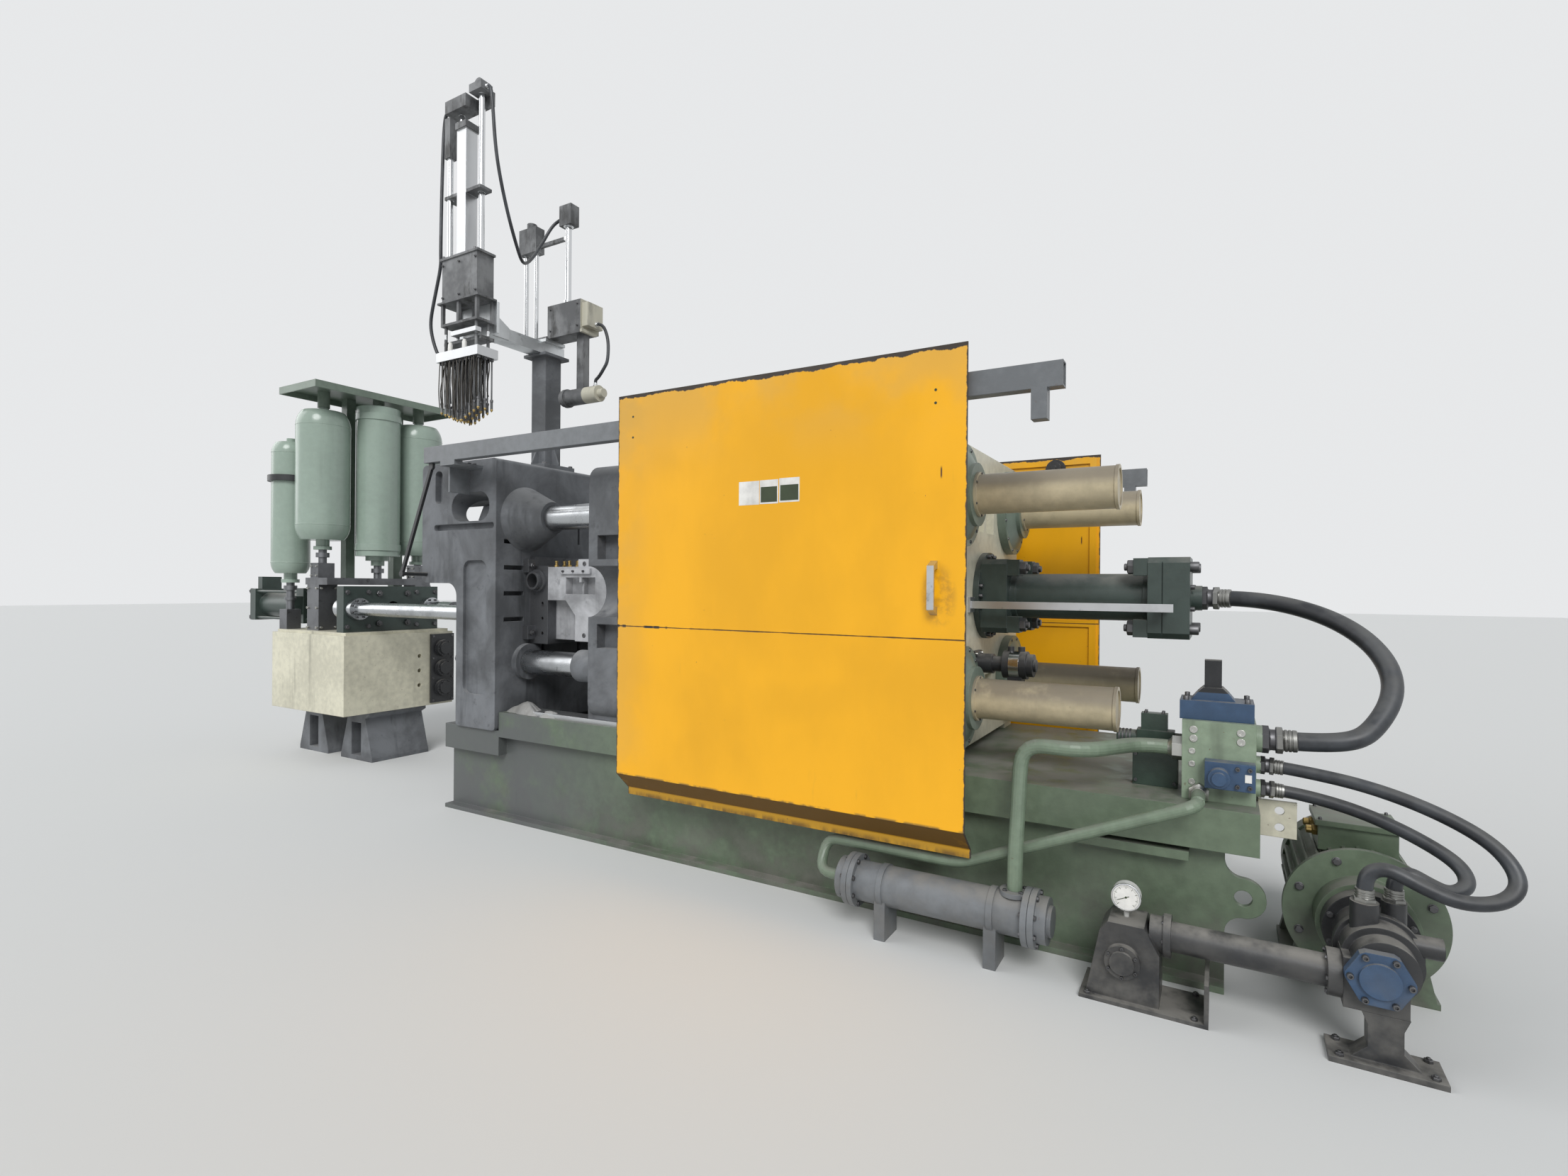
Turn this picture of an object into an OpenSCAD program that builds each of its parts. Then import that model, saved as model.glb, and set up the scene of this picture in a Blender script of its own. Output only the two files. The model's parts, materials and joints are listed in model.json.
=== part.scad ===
// Cold chamber die casting machine: toggle clamp, sliding guard doors, shot end on pedestals, gas
// accumulators, overhead sprayer and hydraulic power pack. X runs from the shot end to the clamp
// end, 0 at the fixed platen's die face. Y runs away from the operator, Z is up. Millimetres.

/* [Clamp] */
// Height of the clamp's centre line above the floor
axis_z = 1475; // [1440:5:1560]
// Tie bar spacing across the machine, centre to centre
bar_pitch_y = 950; // [900:5:980]
// Tie bar spacing up and down, centre to centre
bar_pitch_z = 950; // [900:5:980]
// Diameter of a tie bar
bar_d = 160; // [130:1:170]
// Width of the fixed platen
fixed_w = 1450; // [1400:5:1480]
// Height of the fixed platen above the clamp's centre line
fixed_rise = 855; // [820:5:900]
// Thickness of the fixed platen's lower half
fixed_t = 390; // [340:5:440]
// How far the fixed platen's upper half reaches back past the lower half
fixed_back = 370; // [300:5:420]
// Width of the moving and rear platens
platen_w = 1420; // [1380:5:1450]
// Height of the moving and rear platens above and below the centre line
platen_rise = 745; // [720:5:760]
// Thickness of the moving platen
moving_t = 380; // [320:5:420]
// Thickness of the rear platen
rear_t = 350; // [300:5:400]
// Free length between the moving and the rear platen
link_span = 1420; // [1350:5:1500]
// Diameter of a die height adjuster's flange
flange_d = 480; // [440:5:500]
// Thickness of a die height adjuster's flange
flange_t = 100; // [60:5:120]
// Outer diameter of a tie bar cover
cover_d = 185; // [180:1:200]
// Length of a tie bar cover
cover_l = 605; // [500:5:700]

/* [Dies] */
// Thickness of the fixed die half
fixed_die_t = 170; // [120:5:220]
// Thickness of the moving die half with its ejector box
moving_die_t = 630; // [560:5:680]
// Width of the dies
die_w = 890; // [820:5:920]
// Height of the moving die half
die_h = 530; // [460:5:600]

/* [Closing cylinder] */
// Outer diameter of the closing cylinder's barrel
barrel_d = 226; // [200:1:240]
// Side of the closing cylinder's square heads
head_w = 370; // [350:5:400]
// Length of the closing cylinder from the rear platen to its end
closing_l = 960; // [880:5:1040]
// Diameter of the piston rod
rod_d = 110; // [90:1:120]

/* [Bed] */
// Height of the bed's slide face above the floor
bed_top = 690; // [670:5:700]
// Height of the bed's seat for the fixed platen
bed_seat = 570; // [540:5:590]
// Width of the bed
bed_w = 1410; // [1380:5:1440]
// Reach of the bed past the die face, towards the clamp end
bed_end = 4160; // [4120:5:4240]
// Width of a side beam
beam_w = 145; // [125:5:160]
// Height of a side beam
beam_h = 160; // [140:5:180]
// Thickness of the bed's side plates
web_t = 25; // [15:1:30]

/* [Guard doors] */
// Width of a sliding door
door_w = 1870; // [1800:5:1900]
// Height of a sliding door above its folded lip
door_h = 1990; // [1900:5:2020]
// Height of the door's fold above the floor
door_low = 520; // [500:5:560]
// Thickness of the door's sheet
door_t = 6; // [4:1:8]
// Distance of the front door's near edge from the die face when it stands open
door_open_x = 1270; // [1200:5:1330]
// Distance of the rear door's near edge from the die face when it stands open
rear_open_x = 1520; // [1450:5:1560]
// Depth of the door's folded lip, measured across and down
lip = 95; // [70:5:110]
// Height of the upright return below the lip
lip_return = 35; // [20:1:50]
// Height of the door rail's section
rail_h = 100; // [80:5:110]
// Depth of the door rail's section
rail_t = 60; // [50:5:70]
// Distance of the rails' near faces from the machine's centre plane
rail_y = 875; // [860:5:890]
// Length of a door handle
handle_h = 225; // [180:5:260]

/* [Shot end] */
// Height of the shot axis below the clamp's centre line
shot_drop = 175; // [150:5:200]
// Inner diameter of the shot sleeve
sleeve_id = 110; // [90:1:120]
// Wall of the shot sleeve
sleeve_wall = 20; // [15:1:25]
// Diameter of the shot cylinder's barrel
shot_d = 200; // [180:1:220]
// Distance of the shot frame's near face from the die face
block_near = 2150; // [2050:5:2250]
// Length of the shot frame
block_l = 1120; // [1050:5:1180]
// Width of the shot frame
block_w = 1000; // [940:5:1040]
// Underside of the shot frame above the floor
block_low = 420; // [380:5:460]
// Top of the shot frame above the floor
block_top = 1080; // [1060:5:1100]
// Reach of the shot cylinder behind the die face
shot_reach = 4400; // [4250:5:4500]

/* [Accumulators] */
// Height of the header over the gas bottles
header_z = 3140; // [3120:5:3200]
// Diameter of the near bottle
bottle_d = 420; // [380:5:425]
// Diameter of the middle bottle
middle_d = 360; // [330:5:365]
// Diameter of the far bottle
far_d = 420; // [390:5:425]
// Diameter of the small bottle
small_d = 300; // [260:5:310]

/* [Sprayer] */
// Height of the sprayer's arm above the floor
arm_z = 3190; // [3150:5:3250]
// Reach of the sprayer's arm from its post towards the operator
arm_reach = 645; // [600:5:700]
// Top of the sprayer's rods above the floor
sprayer_top = 4730; // [4500:10:4800]
// Underside of the spray nozzles above the floor
nozzle_low = 2560; // [2530:5:2600]

/* [Power pack] */
// Distance of the motor's axis past the die face
motor_x = 4490; // [4470:5:4560]
// Height of the motor's axis above the floor
motor_z = 310; // [300:5:330]
// Diameter of the motor's body
motor_d = 440; // [400:5:460]
// Diameter of the oil cooler's shell
cooler_d = 170; // [140:5:190]
// Height of the oil cooler's axis above the floor
cooler_z = 215; // [205:5:230]
// Diameter of the steel oil pipes
pipe_d = 60; // [48:1:66]
// Outer diameter of the large pressure hose
hose_d = 70; // [60:1:76]
// Outer diameter of the two smaller pressure hoses
small_hose_d = 46; // [38:1:50]

/* [Hidden] */
$fn = 48;

fit = 0.3; // gap round a shaft or pin that passes through its seat
bar_y = bar_pitch_y / 2;
bar_z = bar_pitch_z / 2;
moving_x = fixed_die_t + moving_die_t;
moving_back = moving_x + moving_t;
rear_x = moving_back + link_span;
rear_back = rear_x + rear_t;
flange_back = rear_back + flange_t;
cover_end = flange_back + cover_l;
closing_end = rear_back + closing_l;
platen_low = axis_z - platen_rise;
platen_top = axis_z + platen_rise;
fixed_top = axis_z + fixed_rise;
upper_low = axis_z + 45; // where the fixed platen's upper half starts to reach back
bed_start = -fixed_t - 130;
seat_step = 15; // gap between the fixed platen's die face and the bed's raised beam
shot_z = axis_z - shot_drop;
sleeve_od = sleeve_id + 2 * sleeve_wall;
slide_t = 25;
shoe_in = 40;
shoe_w = 90;

darkgreen = "#3f4f47";
bedgreen = "#62775a";
cream = "#cfcab0";
dusty = "#63686b";
beige = "#c2b490";
yellow = "#f0ab10";
steel = "#b9bdc0";
black = "#26282b";
mint = "#9db0a0";

// Two limits at w / 2 on both sides of c, and two limits at a distance past c.
function around(c, w) = [c - w / 2, c + w / 2];
function past(c, from, to) = [c + from, c + to];
// A box between two limits along each axis.
module block(x, y, z) {
    translate([x[0], y[0], z[0]]) cube([x[1] - x[0], y[1] - y[0], z[1] - z[0]]);
}
// A round bar along X, Y or Z between two places.
module rod_x(d, x0, x1) { translate([x0, 0, 0]) rotate([0, 90, 0]) cylinder(d = d, h = x1 - x0); }
module rod_y(d, y0, y1) { translate([0, y0, 0]) rotate([-90, 0, 0]) cylinder(d = d, h = y1 - y0); }
module rod_z(d, z0, z1) { translate([0, 0, z0]) cylinder(d = d, h = z1 - z0); }
// A square prism along X, centred on the axis.
module square_x(w, x0, x1) { block([x0, x1], [-w / 2, w / 2], [-w / 2, w / 2]); }
// The four tie bar axes.
module at_bars() {
    for (sy = [-1, 1], sz = [-1, 1])
        translate([0, sy * bar_y, axis_z + sz * bar_z]) children();
}
// A flat rectangle with round corners.
module round_rect(x, y, r) {
    translate([x[0] + r, y[0]]) square([x[1] - x[0] - 2 * r, y[1] - y[0]]);
    translate([x[0], y[0] + r]) square([x[1] - x[0], y[1] - y[0] - 2 * r]);
    for (px = [x[0] + r, x[1] - r], py = [y[0] + r, y[1] - r]) translate([px, py]) circle(r);
}
// A plate in the XZ plane, from y0 to y1, drawn as a flat shape in X and Z.
module plate_xz(y0, y1) {
    translate([0, y1, 0]) rotate([90, 0, 0]) linear_extrude(y1 - y0) children();
}
// A plate in the YZ plane, from x0 to x1, drawn as a flat shape in Y and Z.
module plate_yz(x0, x1) {
    translate([x0, 0, 0]) rotate([90, 0, 90]) linear_extrude(x1 - x0) children();
}

// Bed
lug_r = 75;
lug_x = bed_end - 50;
lug_z = 350;
web_end = bed_end - 110;
web_y = bed_w / 2 - 65;
lug_hole = 60;
lug_corner = 60; // radius of the corners above and below the lug
ledge_from = 640; // the ledge's ends, back from the bed's end
ledge_to = 230;
bracket_y = -500;
module lug_outline() {
    // A round nose on the plate's edge, with a concave corner above and below it.
    difference() {
        translate([web_end - 1, lug_z - lug_r - lug_corner])
            square([lug_corner + 1, 2 * (lug_r + lug_corner)]);
        for (s = [-1, 1]) translate([web_end + lug_corner, lug_z + s * (lug_r + lug_corner)])
            circle(lug_corner);
    }
    translate([web_end - 1, lug_z - lug_r]) square([lug_x - web_end + 1, 2 * lug_r]);
    translate([lug_x, lug_z]) circle(lug_r);
}
module bed_side() {
    beam_y = [-bed_w / 2, -bed_w / 2 + beam_w];
    plate_y = [-web_y, -web_y + web_t];
    beam_low = bed_top - beam_h;
    difference() {
        union() {
            block([seat_step, bed_end], beam_y, [beam_low, bed_top]);
            block([bed_start, seat_step], beam_y, [bed_seat - beam_h, bed_seat]);
            block([bed_start, web_end], plate_y, [0, bed_seat - beam_h]);
            block([seat_step, web_end], plate_y, [bed_seat - beam_h, beam_low]);
            block([bed_start, web_end], beam_y, [0, web_t]);
            plate_xz(plate_y[0], plate_y[1]) lug_outline();
            // A short ledge below the beam, for the lubrication lines.
            block([bed_end - ledge_from, bed_end - ledge_to], [beam_y[0] + 8, -web_y],
                  [beam_low - 56, beam_low - 20]);
        }
        translate([lug_x, 0, lug_z]) rod_y(lug_hole, plate_y[0] - 1, plate_y[1] + 1);
        // The beam is a channel, open towards the floor.
        block([seat_step + web_t, bed_end - web_t], [beam_y[0] + 12, -web_y - fit],
              [beam_low - 1, bed_top - 30]);
    }
}
module bed_front_side() { color(bedgreen) bed_side(); }
module bed_rear_side() { color(bedgreen) mirror([0, 1, 0]) bed_side(); }

deck_t = 30;
deck_start = moving_back + 320;
module bed_deck() {
    in_y = bed_w / 2 - beam_w;
    color(bedgreen) {
        block([deck_start, bed_end], [-in_y, in_y], [bed_top - deck_t, bed_top]);
        block([deck_start, deck_start + deck_t], [-in_y, in_y], [bed_top - beam_h, bed_top - deck_t]);
        block([web_end - deck_t, web_end], [-web_y + web_t, web_y - web_t], [web_t, bed_top - beam_h]);
        block([web_end - deck_t, web_end], [-in_y, in_y], [bed_top - beam_h, bed_top - deck_t]);
        block([bed_start, bed_start + 200], [-in_y, in_y], [bed_seat - beam_h, bed_seat - 20]);
        // The foot plate under the fixed platen.
        block([-300, 300], [-in_y, in_y], [0, web_t]);
        block([bed_start, bed_start + deck_t], [-web_y + web_t, web_y - web_t],
              [web_t, bed_seat - beam_h]);
    }
}
slide_end = rear_x - 30;
module end_bracket() {
    // A short angle bolted to the deck's edge, with two holes.
    z = [bed_top - 128, bed_top + 12];
    color(cream) difference() {
        union() {
            block([bed_end, bed_end + 12], [bracket_y, bracket_y + 100], z);
            block([bed_end, bed_end + 126], [bracket_y, bracket_y + 12], z);
        }
        for (dz = [38, 102]) translate([bed_end + 70, 0, z[0] + dz]) rod_y(32, bracket_y - 1, bracket_y + 13);
    }
}
module slideways() {
    y = [bed_w / 2 - shoe_in - shoe_w - 20, bed_w / 2 - shoe_in + 10];
    color(steel) for (m = [0, 1]) mirror([0, m, 0])
        block([fixed_die_t + 60, slide_end], y, [bed_top, bed_top + slide_t]);
}

// Platens
boss_d = 430;
boss_l = 250;
low_boss_l = 40;
corner_r = 90; // radius of the inner corner under the upper half
window_l = 380; // the round-ended window at an upper tie bar nut
window_h = 190;
sleeve_l = 285; // length of the moving platen's guide sleeves on the lower bars
nut_d = 270;
nut_l = 170;
nut_x = -fixed_t + 50; // where an upper tie bar nut's room starts
t_slot_w = 28;
t_slot_in = 46;
module fixed_platen() {
    half = fixed_w / 2;
    back = -fixed_t - fixed_back;
    color(dusty) difference() {
        union() {
            // The upper half reaches back in one sweep, with a round inner corner below it.
            plate_xz(-half, half) {
                round_rect([-fixed_t, 0], [bed_seat, fixed_top], 25);
                round_rect([back, -60], [upper_low, fixed_top], 40);
                difference() {
                    translate([-fixed_t - corner_r, upper_low - corner_r]) square(corner_r + 1);
                    translate([-fixed_t - corner_r, upper_low - corner_r]) circle(corner_r);
                }
            }
            for (s = [-1, 1]) {
                // Long cones guide the upper bars, short bosses the lower ones.
                translate([-1, s * bar_y, axis_z + bar_z]) rotate([0, 90, 0])
                    cylinder(d1 = boss_d, d2 = bar_d + 50, h = boss_l);
                translate([0, s * bar_y, axis_z - bar_z]) rod_x(bar_d + 80, -1, low_boss_l);
            }
            for (m = [0, 1]) mirror([0, m, 0]) {
                // Feet that bolt down on the bed.
                block([-fixed_t + 30, -30], [-half, -half + 60], [bed_seat, bed_seat + 60]);
            }
        }
        for (s = [-1, 1]) {
            translate([0, s * bar_y, axis_z + bar_z]) rod_x(bar_d + 2 * fit, nut_x, boss_l + 10);
            translate([0, s * bar_y, axis_z - bar_z]) rod_x(bar_d + 2 * fit, -fixed_t - 10, low_boss_l + 10);
        }
        translate([0, 0, shot_z]) rod_x(sleeve_od + 2 * fit, back - 10, 10);
        // Deep pockets open to the back, between the tie bar columns.
        block([back - 1, -fixed_t + 60], [-half + 330, half - 330], [upper_low - 130, fixed_top - 110]);
        for (m = [0, 1]) mirror([0, m, 0]) {
            block([-fixed_t - 1, -fixed_t + 170], [190, half - 160], [bed_seat + 330, upper_low - 230]);
            // The round-ended window that shows the upper tie bar nut.
            translate([nut_x + nut_l / 2, 0, axis_z + bar_z + 75]) plate_xz(-half - 20, -bar_y)
                round_rect(around(0, window_l), around(0, window_h), window_h / 2 - 1);
            // An upright slot behind it, a long relief below it and a shallow panel under the step.
            plate_xz(-half - 1, -half + 45)
                round_rect([back + 140, back + 215], [fixed_top - 270, fixed_top - 50], 30);
            plate_xz(-half - 1, -half + 34)
                round_rect([back + 130, -20], [upper_low + 355, upper_low + 395], 18);
            plate_xz(-half - 1, -half + 24)
                round_rect([-fixed_t + 70, -90], [bed_seat + 220, upper_low + 150], 60);
            // The room for the nut, open to the back.
            translate([0, bar_y, axis_z + bar_z]) rod_x(nut_d + 24, back - 1, nut_x + nut_l + 20);
            // Closed T-slots beside the die.
            for (z = [-190 : 170 : 320]) {
                block([-60, 1], [-half + 65, -half + 225], around(axis_z + z, t_slot_w));
                block([-60, -32], [-half + 65, -half + 225], around(axis_z + z, t_slot_in));
            }
        }
        // T-slots above and below the die.
        for (z = [axis_z - 560, axis_z + 330], y = [-330, 0, 330]) {
            block([-60, 1], [y - t_slot_w / 2, y + t_slot_w / 2], [z, z + 230]);
            block([-60, -32], [y - t_slot_in / 2, y + t_slot_in / 2], [z, z + 230]);
        }
    }
}

ear_r = 90;
ear_out = 120;
pivot_z = 330;
pin_d = 90;
link_y = 250;
fork_in = 50;
fork_t = 30;
link_t = 2 * fork_in - 10;
module ear(x_face, x_pin, dy) {
    // A round-nosed ear rooted in a platen's face, with its pin hole, at both heights and sides.
    root = x_face > x_pin ? x_face + 5 : x_face - 5;
    for (sz = [-1, 1], sy = [-1, 1]) for (y = dy) translate([0, sy * link_y + y[0], 0])
        plate_xz(0, y[1] - y[0]) difference() {
            union() {
                translate([min(root, x_pin), axis_z + sz * pivot_z - ear_r])
                    square([abs(x_pin - root), 2 * ear_r]);
                translate([x_pin, axis_z + sz * pivot_z]) circle(ear_r);
            }
            translate([x_pin, axis_z + sz * pivot_z]) circle(d = pin_d + 2 * fit);
        }
}
module platen_body(x0, x1) {
    // A plate with round corners, waisted at mid height on both sides.
    plate_yz(x0, x1) difference() {
        round_rect([-platen_w / 2, platen_w / 2], [platen_low, platen_top], 90);
        for (s = [-1, 1]) translate([s * platen_w / 2, axis_z]) circle(150);
    }
}
module moving_platen() {
    color(dusty) {
        difference() {
            union() {
                platen_body(moving_x, moving_back);
                for (m = [0, 1]) mirror([0, m, 0]) block([moving_x - 40, moving_back + 60],
                    bed_w / 2 * [1, 1] - [shoe_in + shoe_w, shoe_in], [bed_top + slide_t, platen_low + 160]);
                // Round guide collars for the tie bars on the back face.
                at_bars() rod_x(bar_d + 110, moving_back - 1, moving_back + 70);
                // Guide sleeves reach along the lower bars, beside the die.
                for (s = [-1, 1]) translate([0, s * bar_y, axis_z - bar_z])
                    rod_x(bar_d + 44, moving_x - sleeve_l, moving_x + 1);
            }
            at_bars() rod_x(bar_d + 2 * fit, moving_x - sleeve_l - 10, moving_back + 80);
            // Weight pockets in the back face and both side faces.
            for (m = [0, 1]) mirror([0, m, 0]) {
                block([moving_back - 160, moving_back + 1], [30, 150], [axis_z - 200, axis_z + 200]);
                for (z = [axis_z - 330, axis_z + 190]) block([moving_x + 70, moving_back - 70],
                    [platen_w / 2 - 70, platen_w / 2 + 1], [z, z + 140]);
            }
            for (y = [-330, 0, 330])
                block([moving_x - 1, moving_x + 60], [y - t_slot_w / 2, y + t_slot_w / 2],
                      [axis_z + die_h / 2 + 40, axis_z + die_h / 2 + 300]);
        }
        ear(moving_back, moving_back + ear_out, [[fork_in, fork_in + fork_t], [-fork_in - fork_t, -fork_in]]);
    }
}
module rear_platen() {
    color(cream) {
        difference() {
            union() {
                platen_body(rear_x, rear_back);
                for (m = [0, 1]) mirror([0, m, 0])
                    block([rear_x + 20, rear_back - 20], [bed_w / 2 - 180, bed_w / 2 - 30],
                          [bed_top, platen_low + 140]);
            }
            at_bars() rod_x(bar_d + 2 * fit, rear_x - 10, rear_back + 10);
            translate([0, 0, axis_z]) rod_x(rod_d + 40, rear_x - 10, rear_back + 10);
            // Ribbed pockets in the back face, above and below the cylinder.
            for (y = [-170, 20], z = [[330, 600], [-640, -420]])
                block([rear_back - 110, rear_back + 1], [y, y + 150], axis_z * [1, 1] + z);
            for (m = [0, 1], z = [axis_z - 330, axis_z + 190]) mirror([0, m, 0])
                block([rear_x + 70, rear_back - 70], [platen_w / 2 - 70, platen_w / 2 + 1], [z, z + 140]);
        }
        ear(rear_x, rear_x - ear_out, [[-link_t / 2, link_t / 2]]);
    }
}

// Tie bars
module tie_bars() {
    color(steel) for (s = [-1, 1]) {
        translate([0, s * bar_y, axis_z + bar_z]) rod_x(bar_d, nut_x - 10, flange_back - 30);
        translate([0, s * bar_y, axis_z - bar_z]) rod_x(bar_d, lower_nut_x - 30, flange_back - 30);
    }
}
module hex_nut(x0) {
    translate([x0, 0, 0]) rotate([0, 90, 0]) difference() {
        cylinder(d = nut_d, h = nut_l, $fn = 8);
        translate([0, 0, -1]) cylinder(d = bar_d + 2 * fit, h = nut_l + 2);
    }
}
lower_nut_x = -fixed_t - nut_l;
module tie_bar_nuts() {
    color(dusty) for (s = [-1, 1]) {
        translate([0, s * bar_y, axis_z + bar_z]) hex_nut(nut_x + 20);
        translate([0, s * bar_y, axis_z - bar_z]) hex_nut(lower_nut_x);
    }
}
module adjuster_flanges() {
    // A broad ring bolted to the platen, a stepped hub and a collar that the cover fits round.
    color("#6f7d74") at_bars() difference() {
        union() {
            rod_x(flange_d, rear_back, rear_back + flange_t * 0.45);
            rotate([0, 90, 0]) translate([0, 0, rear_back + flange_t * 0.45])
                cylinder(d1 = flange_d - 60, d2 = cover_d + 110, h = flange_t * 0.35);
            rod_x(cover_d + 110, rear_back, flange_back);
        }
        rod_x(bar_d + 2 * fit, rear_back - 1, flange_back + 1);
        for (a = [15 : 30 : 345]) rotate([a, 0, 0]) translate([0, flange_d / 2 - 16, 0])
            rod_x(18, rear_back + flange_t * 0.45 - 8, rear_back + flange_t * 0.45 + 1);
    }
}
cover_wall = 5;
module tie_bar_covers() {
    color(beige) at_bars() difference() {
        union() {
            rod_x(cover_d, flange_back, cover_end);
            rod_x(cover_d + 24, flange_back, flange_back + 12);
            rod_x(cover_d + 8, cover_end - 14, cover_end);
        }
        rod_x(cover_d - 2 * cover_wall, flange_back - 1, cover_end - 20);
        rod_x(cover_d - 24, cover_end - 6, cover_end + 1);
    }
}

// Dies
die_low = axis_z - die_h / 2 - 60;
die_top = die_low + die_h;
core_d = 150; // the flange round the side core
pocket_x = [fixed_die_t + 165, fixed_die_t + 305];
pocket_w = 120;
module fixed_die() {
    core_x = fixed_die_t * 0.5;
    core_z = axis_z + 66;
    color("#4a4d50") difference() {
        union() {
            block([0, fixed_die_t], [-die_w / 2, die_w / 2], [die_low - 30, die_top - 40]);
            block([0, 50], [-die_w / 2, die_w / 2], [die_top - 41, die_top + 20]);
            // The flanged socket of a side core on the operator's side.
            translate([core_x, 0, core_z]) {
                rod_y(core_d, -die_w / 2 - 24, -die_w / 2 + 1);
                rod_y(core_d * 0.8, -die_w / 2 - 60, -die_w / 2);
            }
            // Clamp lugs for the platen's T-slots.
            for (m = [0, 1], z = [die_low, axis_z + 120]) mirror([0, m, 0])
                block([0, 50], [die_w / 2 - 1, die_w / 2 + 60], [z, z + 90]);
        }
        translate([core_x, 0, core_z]) rod_y(core_d * 0.62, -die_w / 2 - 61, -die_w / 2 + 40);
        translate([0, 0, shot_z]) rod_x(sleeve_id, -1, fixed_die_t - 40);
        for (s = [-1, 1]) translate([fixed_die_t * 0.7, s * 250, 0]) rod_z(30, die_top - 100, die_top - 39);
        for (z = [die_low + 40 : 100 : die_low + 240]) translate([fixed_die_t * 0.7, 0, z])
            rod_y(22, -die_w / 2 - 1, -die_w / 2 + 50);
    }
}
module moving_die() {
    x0 = fixed_die_t;
    y0 = -die_w / 2;
    step_x = x0 + 275; // the top steps up here
    box_x = x0 + moving_die_t * 0.72; // the ejector box starts here
    color(steel) difference() {
        union() {
            block([x0, step_x + 1], [y0, -y0], [die_low, die_top - 48]);
            block([step_x, box_x], [y0, -y0], [die_low, die_top]);
            for (m = [0, 1]) mirror([0, m, 0])
                block([box_x - 1, moving_x - 60], [-y0 - 90, -y0], [die_low, die_top]);
            block([box_x + 60, box_x + 140], [y0 + 110, -y0 - 110], [die_low + 30, die_top - 30]);
            block([moving_x - 60, moving_x], [y0 - 45, -y0 + 45], [die_low - 20, die_top + 10]);
            // A cap strip along the top of the operator's side.
            block([x0 + 130, box_x - 60], [y0 - 18, y0 + 1], [die_top - 96, die_top - 60]);
            for (y = [y0 + 130, -y0 - 190]) block([box_x + 139, moving_x - 59], [y, y + 60],
                [axis_z - 60, axis_z + 60]);
        }
        // Two square pockets beside each other, with an upright rib between them.
        for (x = pocket_x) block([x, x + pocket_w], [y0 - 19, y0 + 62], [die_top - 225, die_top - 118]);
        block([pocket_x[0] + pocket_w - 1, pocket_x[1] + 1], [y0 - 1, y0 + 24],
              [die_top - 225, die_top - 150]);
        // The lower corner is cut back in one sloped step.
        plate_xz(y0 - 1, y0 + 74) polygon([
            [x0 - 1, die_low - 1], [x0 + 250, die_low - 1], [x0 + 250, die_low + 165],
            [x0 + 165, die_low + 262], [x0 - 1, die_low + 262]]);
        // The round cooling window, and drilled cooling lines.
        translate([x0 + 436, 0, die_low + 126]) rod_y(94, y0 - 1, y0 + 120);
        for (z = [die_top - 30, die_low + 40]) for (x = [x0 + 330, box_x - 60]) translate([x, 0, z])
            rod_y(22, y0 - 1, y0 + 50);
        for (s = [-1, 1]) translate([x0 + 90, s * 250, 0]) rod_z(30, die_top - 110, die_top - 47);
        for (s = [-1, 1]) translate([box_x - 90, s * 250, 0]) rod_z(30, die_top - 60, die_top + 1);
    }
}

// Closing cylinder and toggle
disc_d = head_w + 80;
disc_t = 30;
cap_t = 130;
end_cap_t = 170;
lug_side = 80; // the square bolt lugs at the heads' corners
lug_l = 60;
port_t = 45; // length of the port at the rear head
module cap_head(x0, x1) {
    // A square cylinder head with its corners cut off.
    h = head_w / 2;
    c = 26;
    plate_yz(x0, x1) polygon([
        [-h, c - h], [c - h, -h], [h - c, -h], [h, c - h], [h, h - c], [h - c, h], [c - h, h], [-h, h - c]]);
}
module closing_cylinder() {
    front_end = rear_back + disc_t + cap_t;
    rear_start = closing_end - end_cap_t;
    lug_at = head_w / 2 - lug_side / 2 - 4;
    color(darkgreen) translate([0, 0, axis_z]) difference() {
        union() {
            rod_x(disc_d, rear_back, rear_back + disc_t);
            cap_head(rear_back + disc_t, front_end);
            rod_x(barrel_d + 24, front_end - 1, front_end + 26);
            rod_x(barrel_d, front_end, rear_start);
            rod_x(barrel_d + 24, rear_start - 26, rear_start + 1);
            cap_head(rear_start, closing_end);
            // The bolt lugs at the corners reach along the barrel from both heads.
            for (sy = [-1, 1], sz = [-1, 1]) translate([0, sy * lug_at, sz * lug_at]) {
                square_x(lug_side, front_end - 1, front_end + lug_l);
                square_x(lug_side, rear_start - lug_l, rear_start + 1);
            }
            rod_x(hose_d + 44, closing_end, closing_end + port_t);
        }
        rod_x(rod_d + 2 * fit, rear_back - 1, front_end + 200);
        rod_x(barrel_d - 50, front_end + 10, rear_start - 10);
        // The joint between the rear head's two plates.
        for (m = [0, 1]) mirror([0, m, 0]) block([rear_start + 58, rear_start + 62],
            [head_w / 2 - 6, head_w / 2 + 1], around(0, head_w + 2));
    }
}
cross_x = moving_back + 380;
cross_t = 130;
cross_pin_z = 150;
module crosshead() {
    color(steel) translate([0, 0, axis_z]) {
        rod_x(rod_d, cross_x + cross_t, rear_back + disc_t + cap_t + 150);
        block([cross_x, cross_x + cross_t], around(0, 2 * (link_y - fork_in - 10)), [-95, 95]);
        for (m = [0, 1]) mirror([0, 0, m]) block([cross_x + 20, cross_x + cross_t - 20],
            around(0, 2 * (link_y - fork_in - 10)), [95, cross_pin_z + 50]);
        for (sz = [-1, 1]) translate([cross_x + cross_t / 2, 0, sz * cross_pin_z])
            rod_y(50, -link_y + fork_in + 10 - 1, link_y - fork_in - 10 + 1);
    }
}
knee_x = moving_back + link_span * 0.5;
knee_z = pivot_z + 12;
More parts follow.
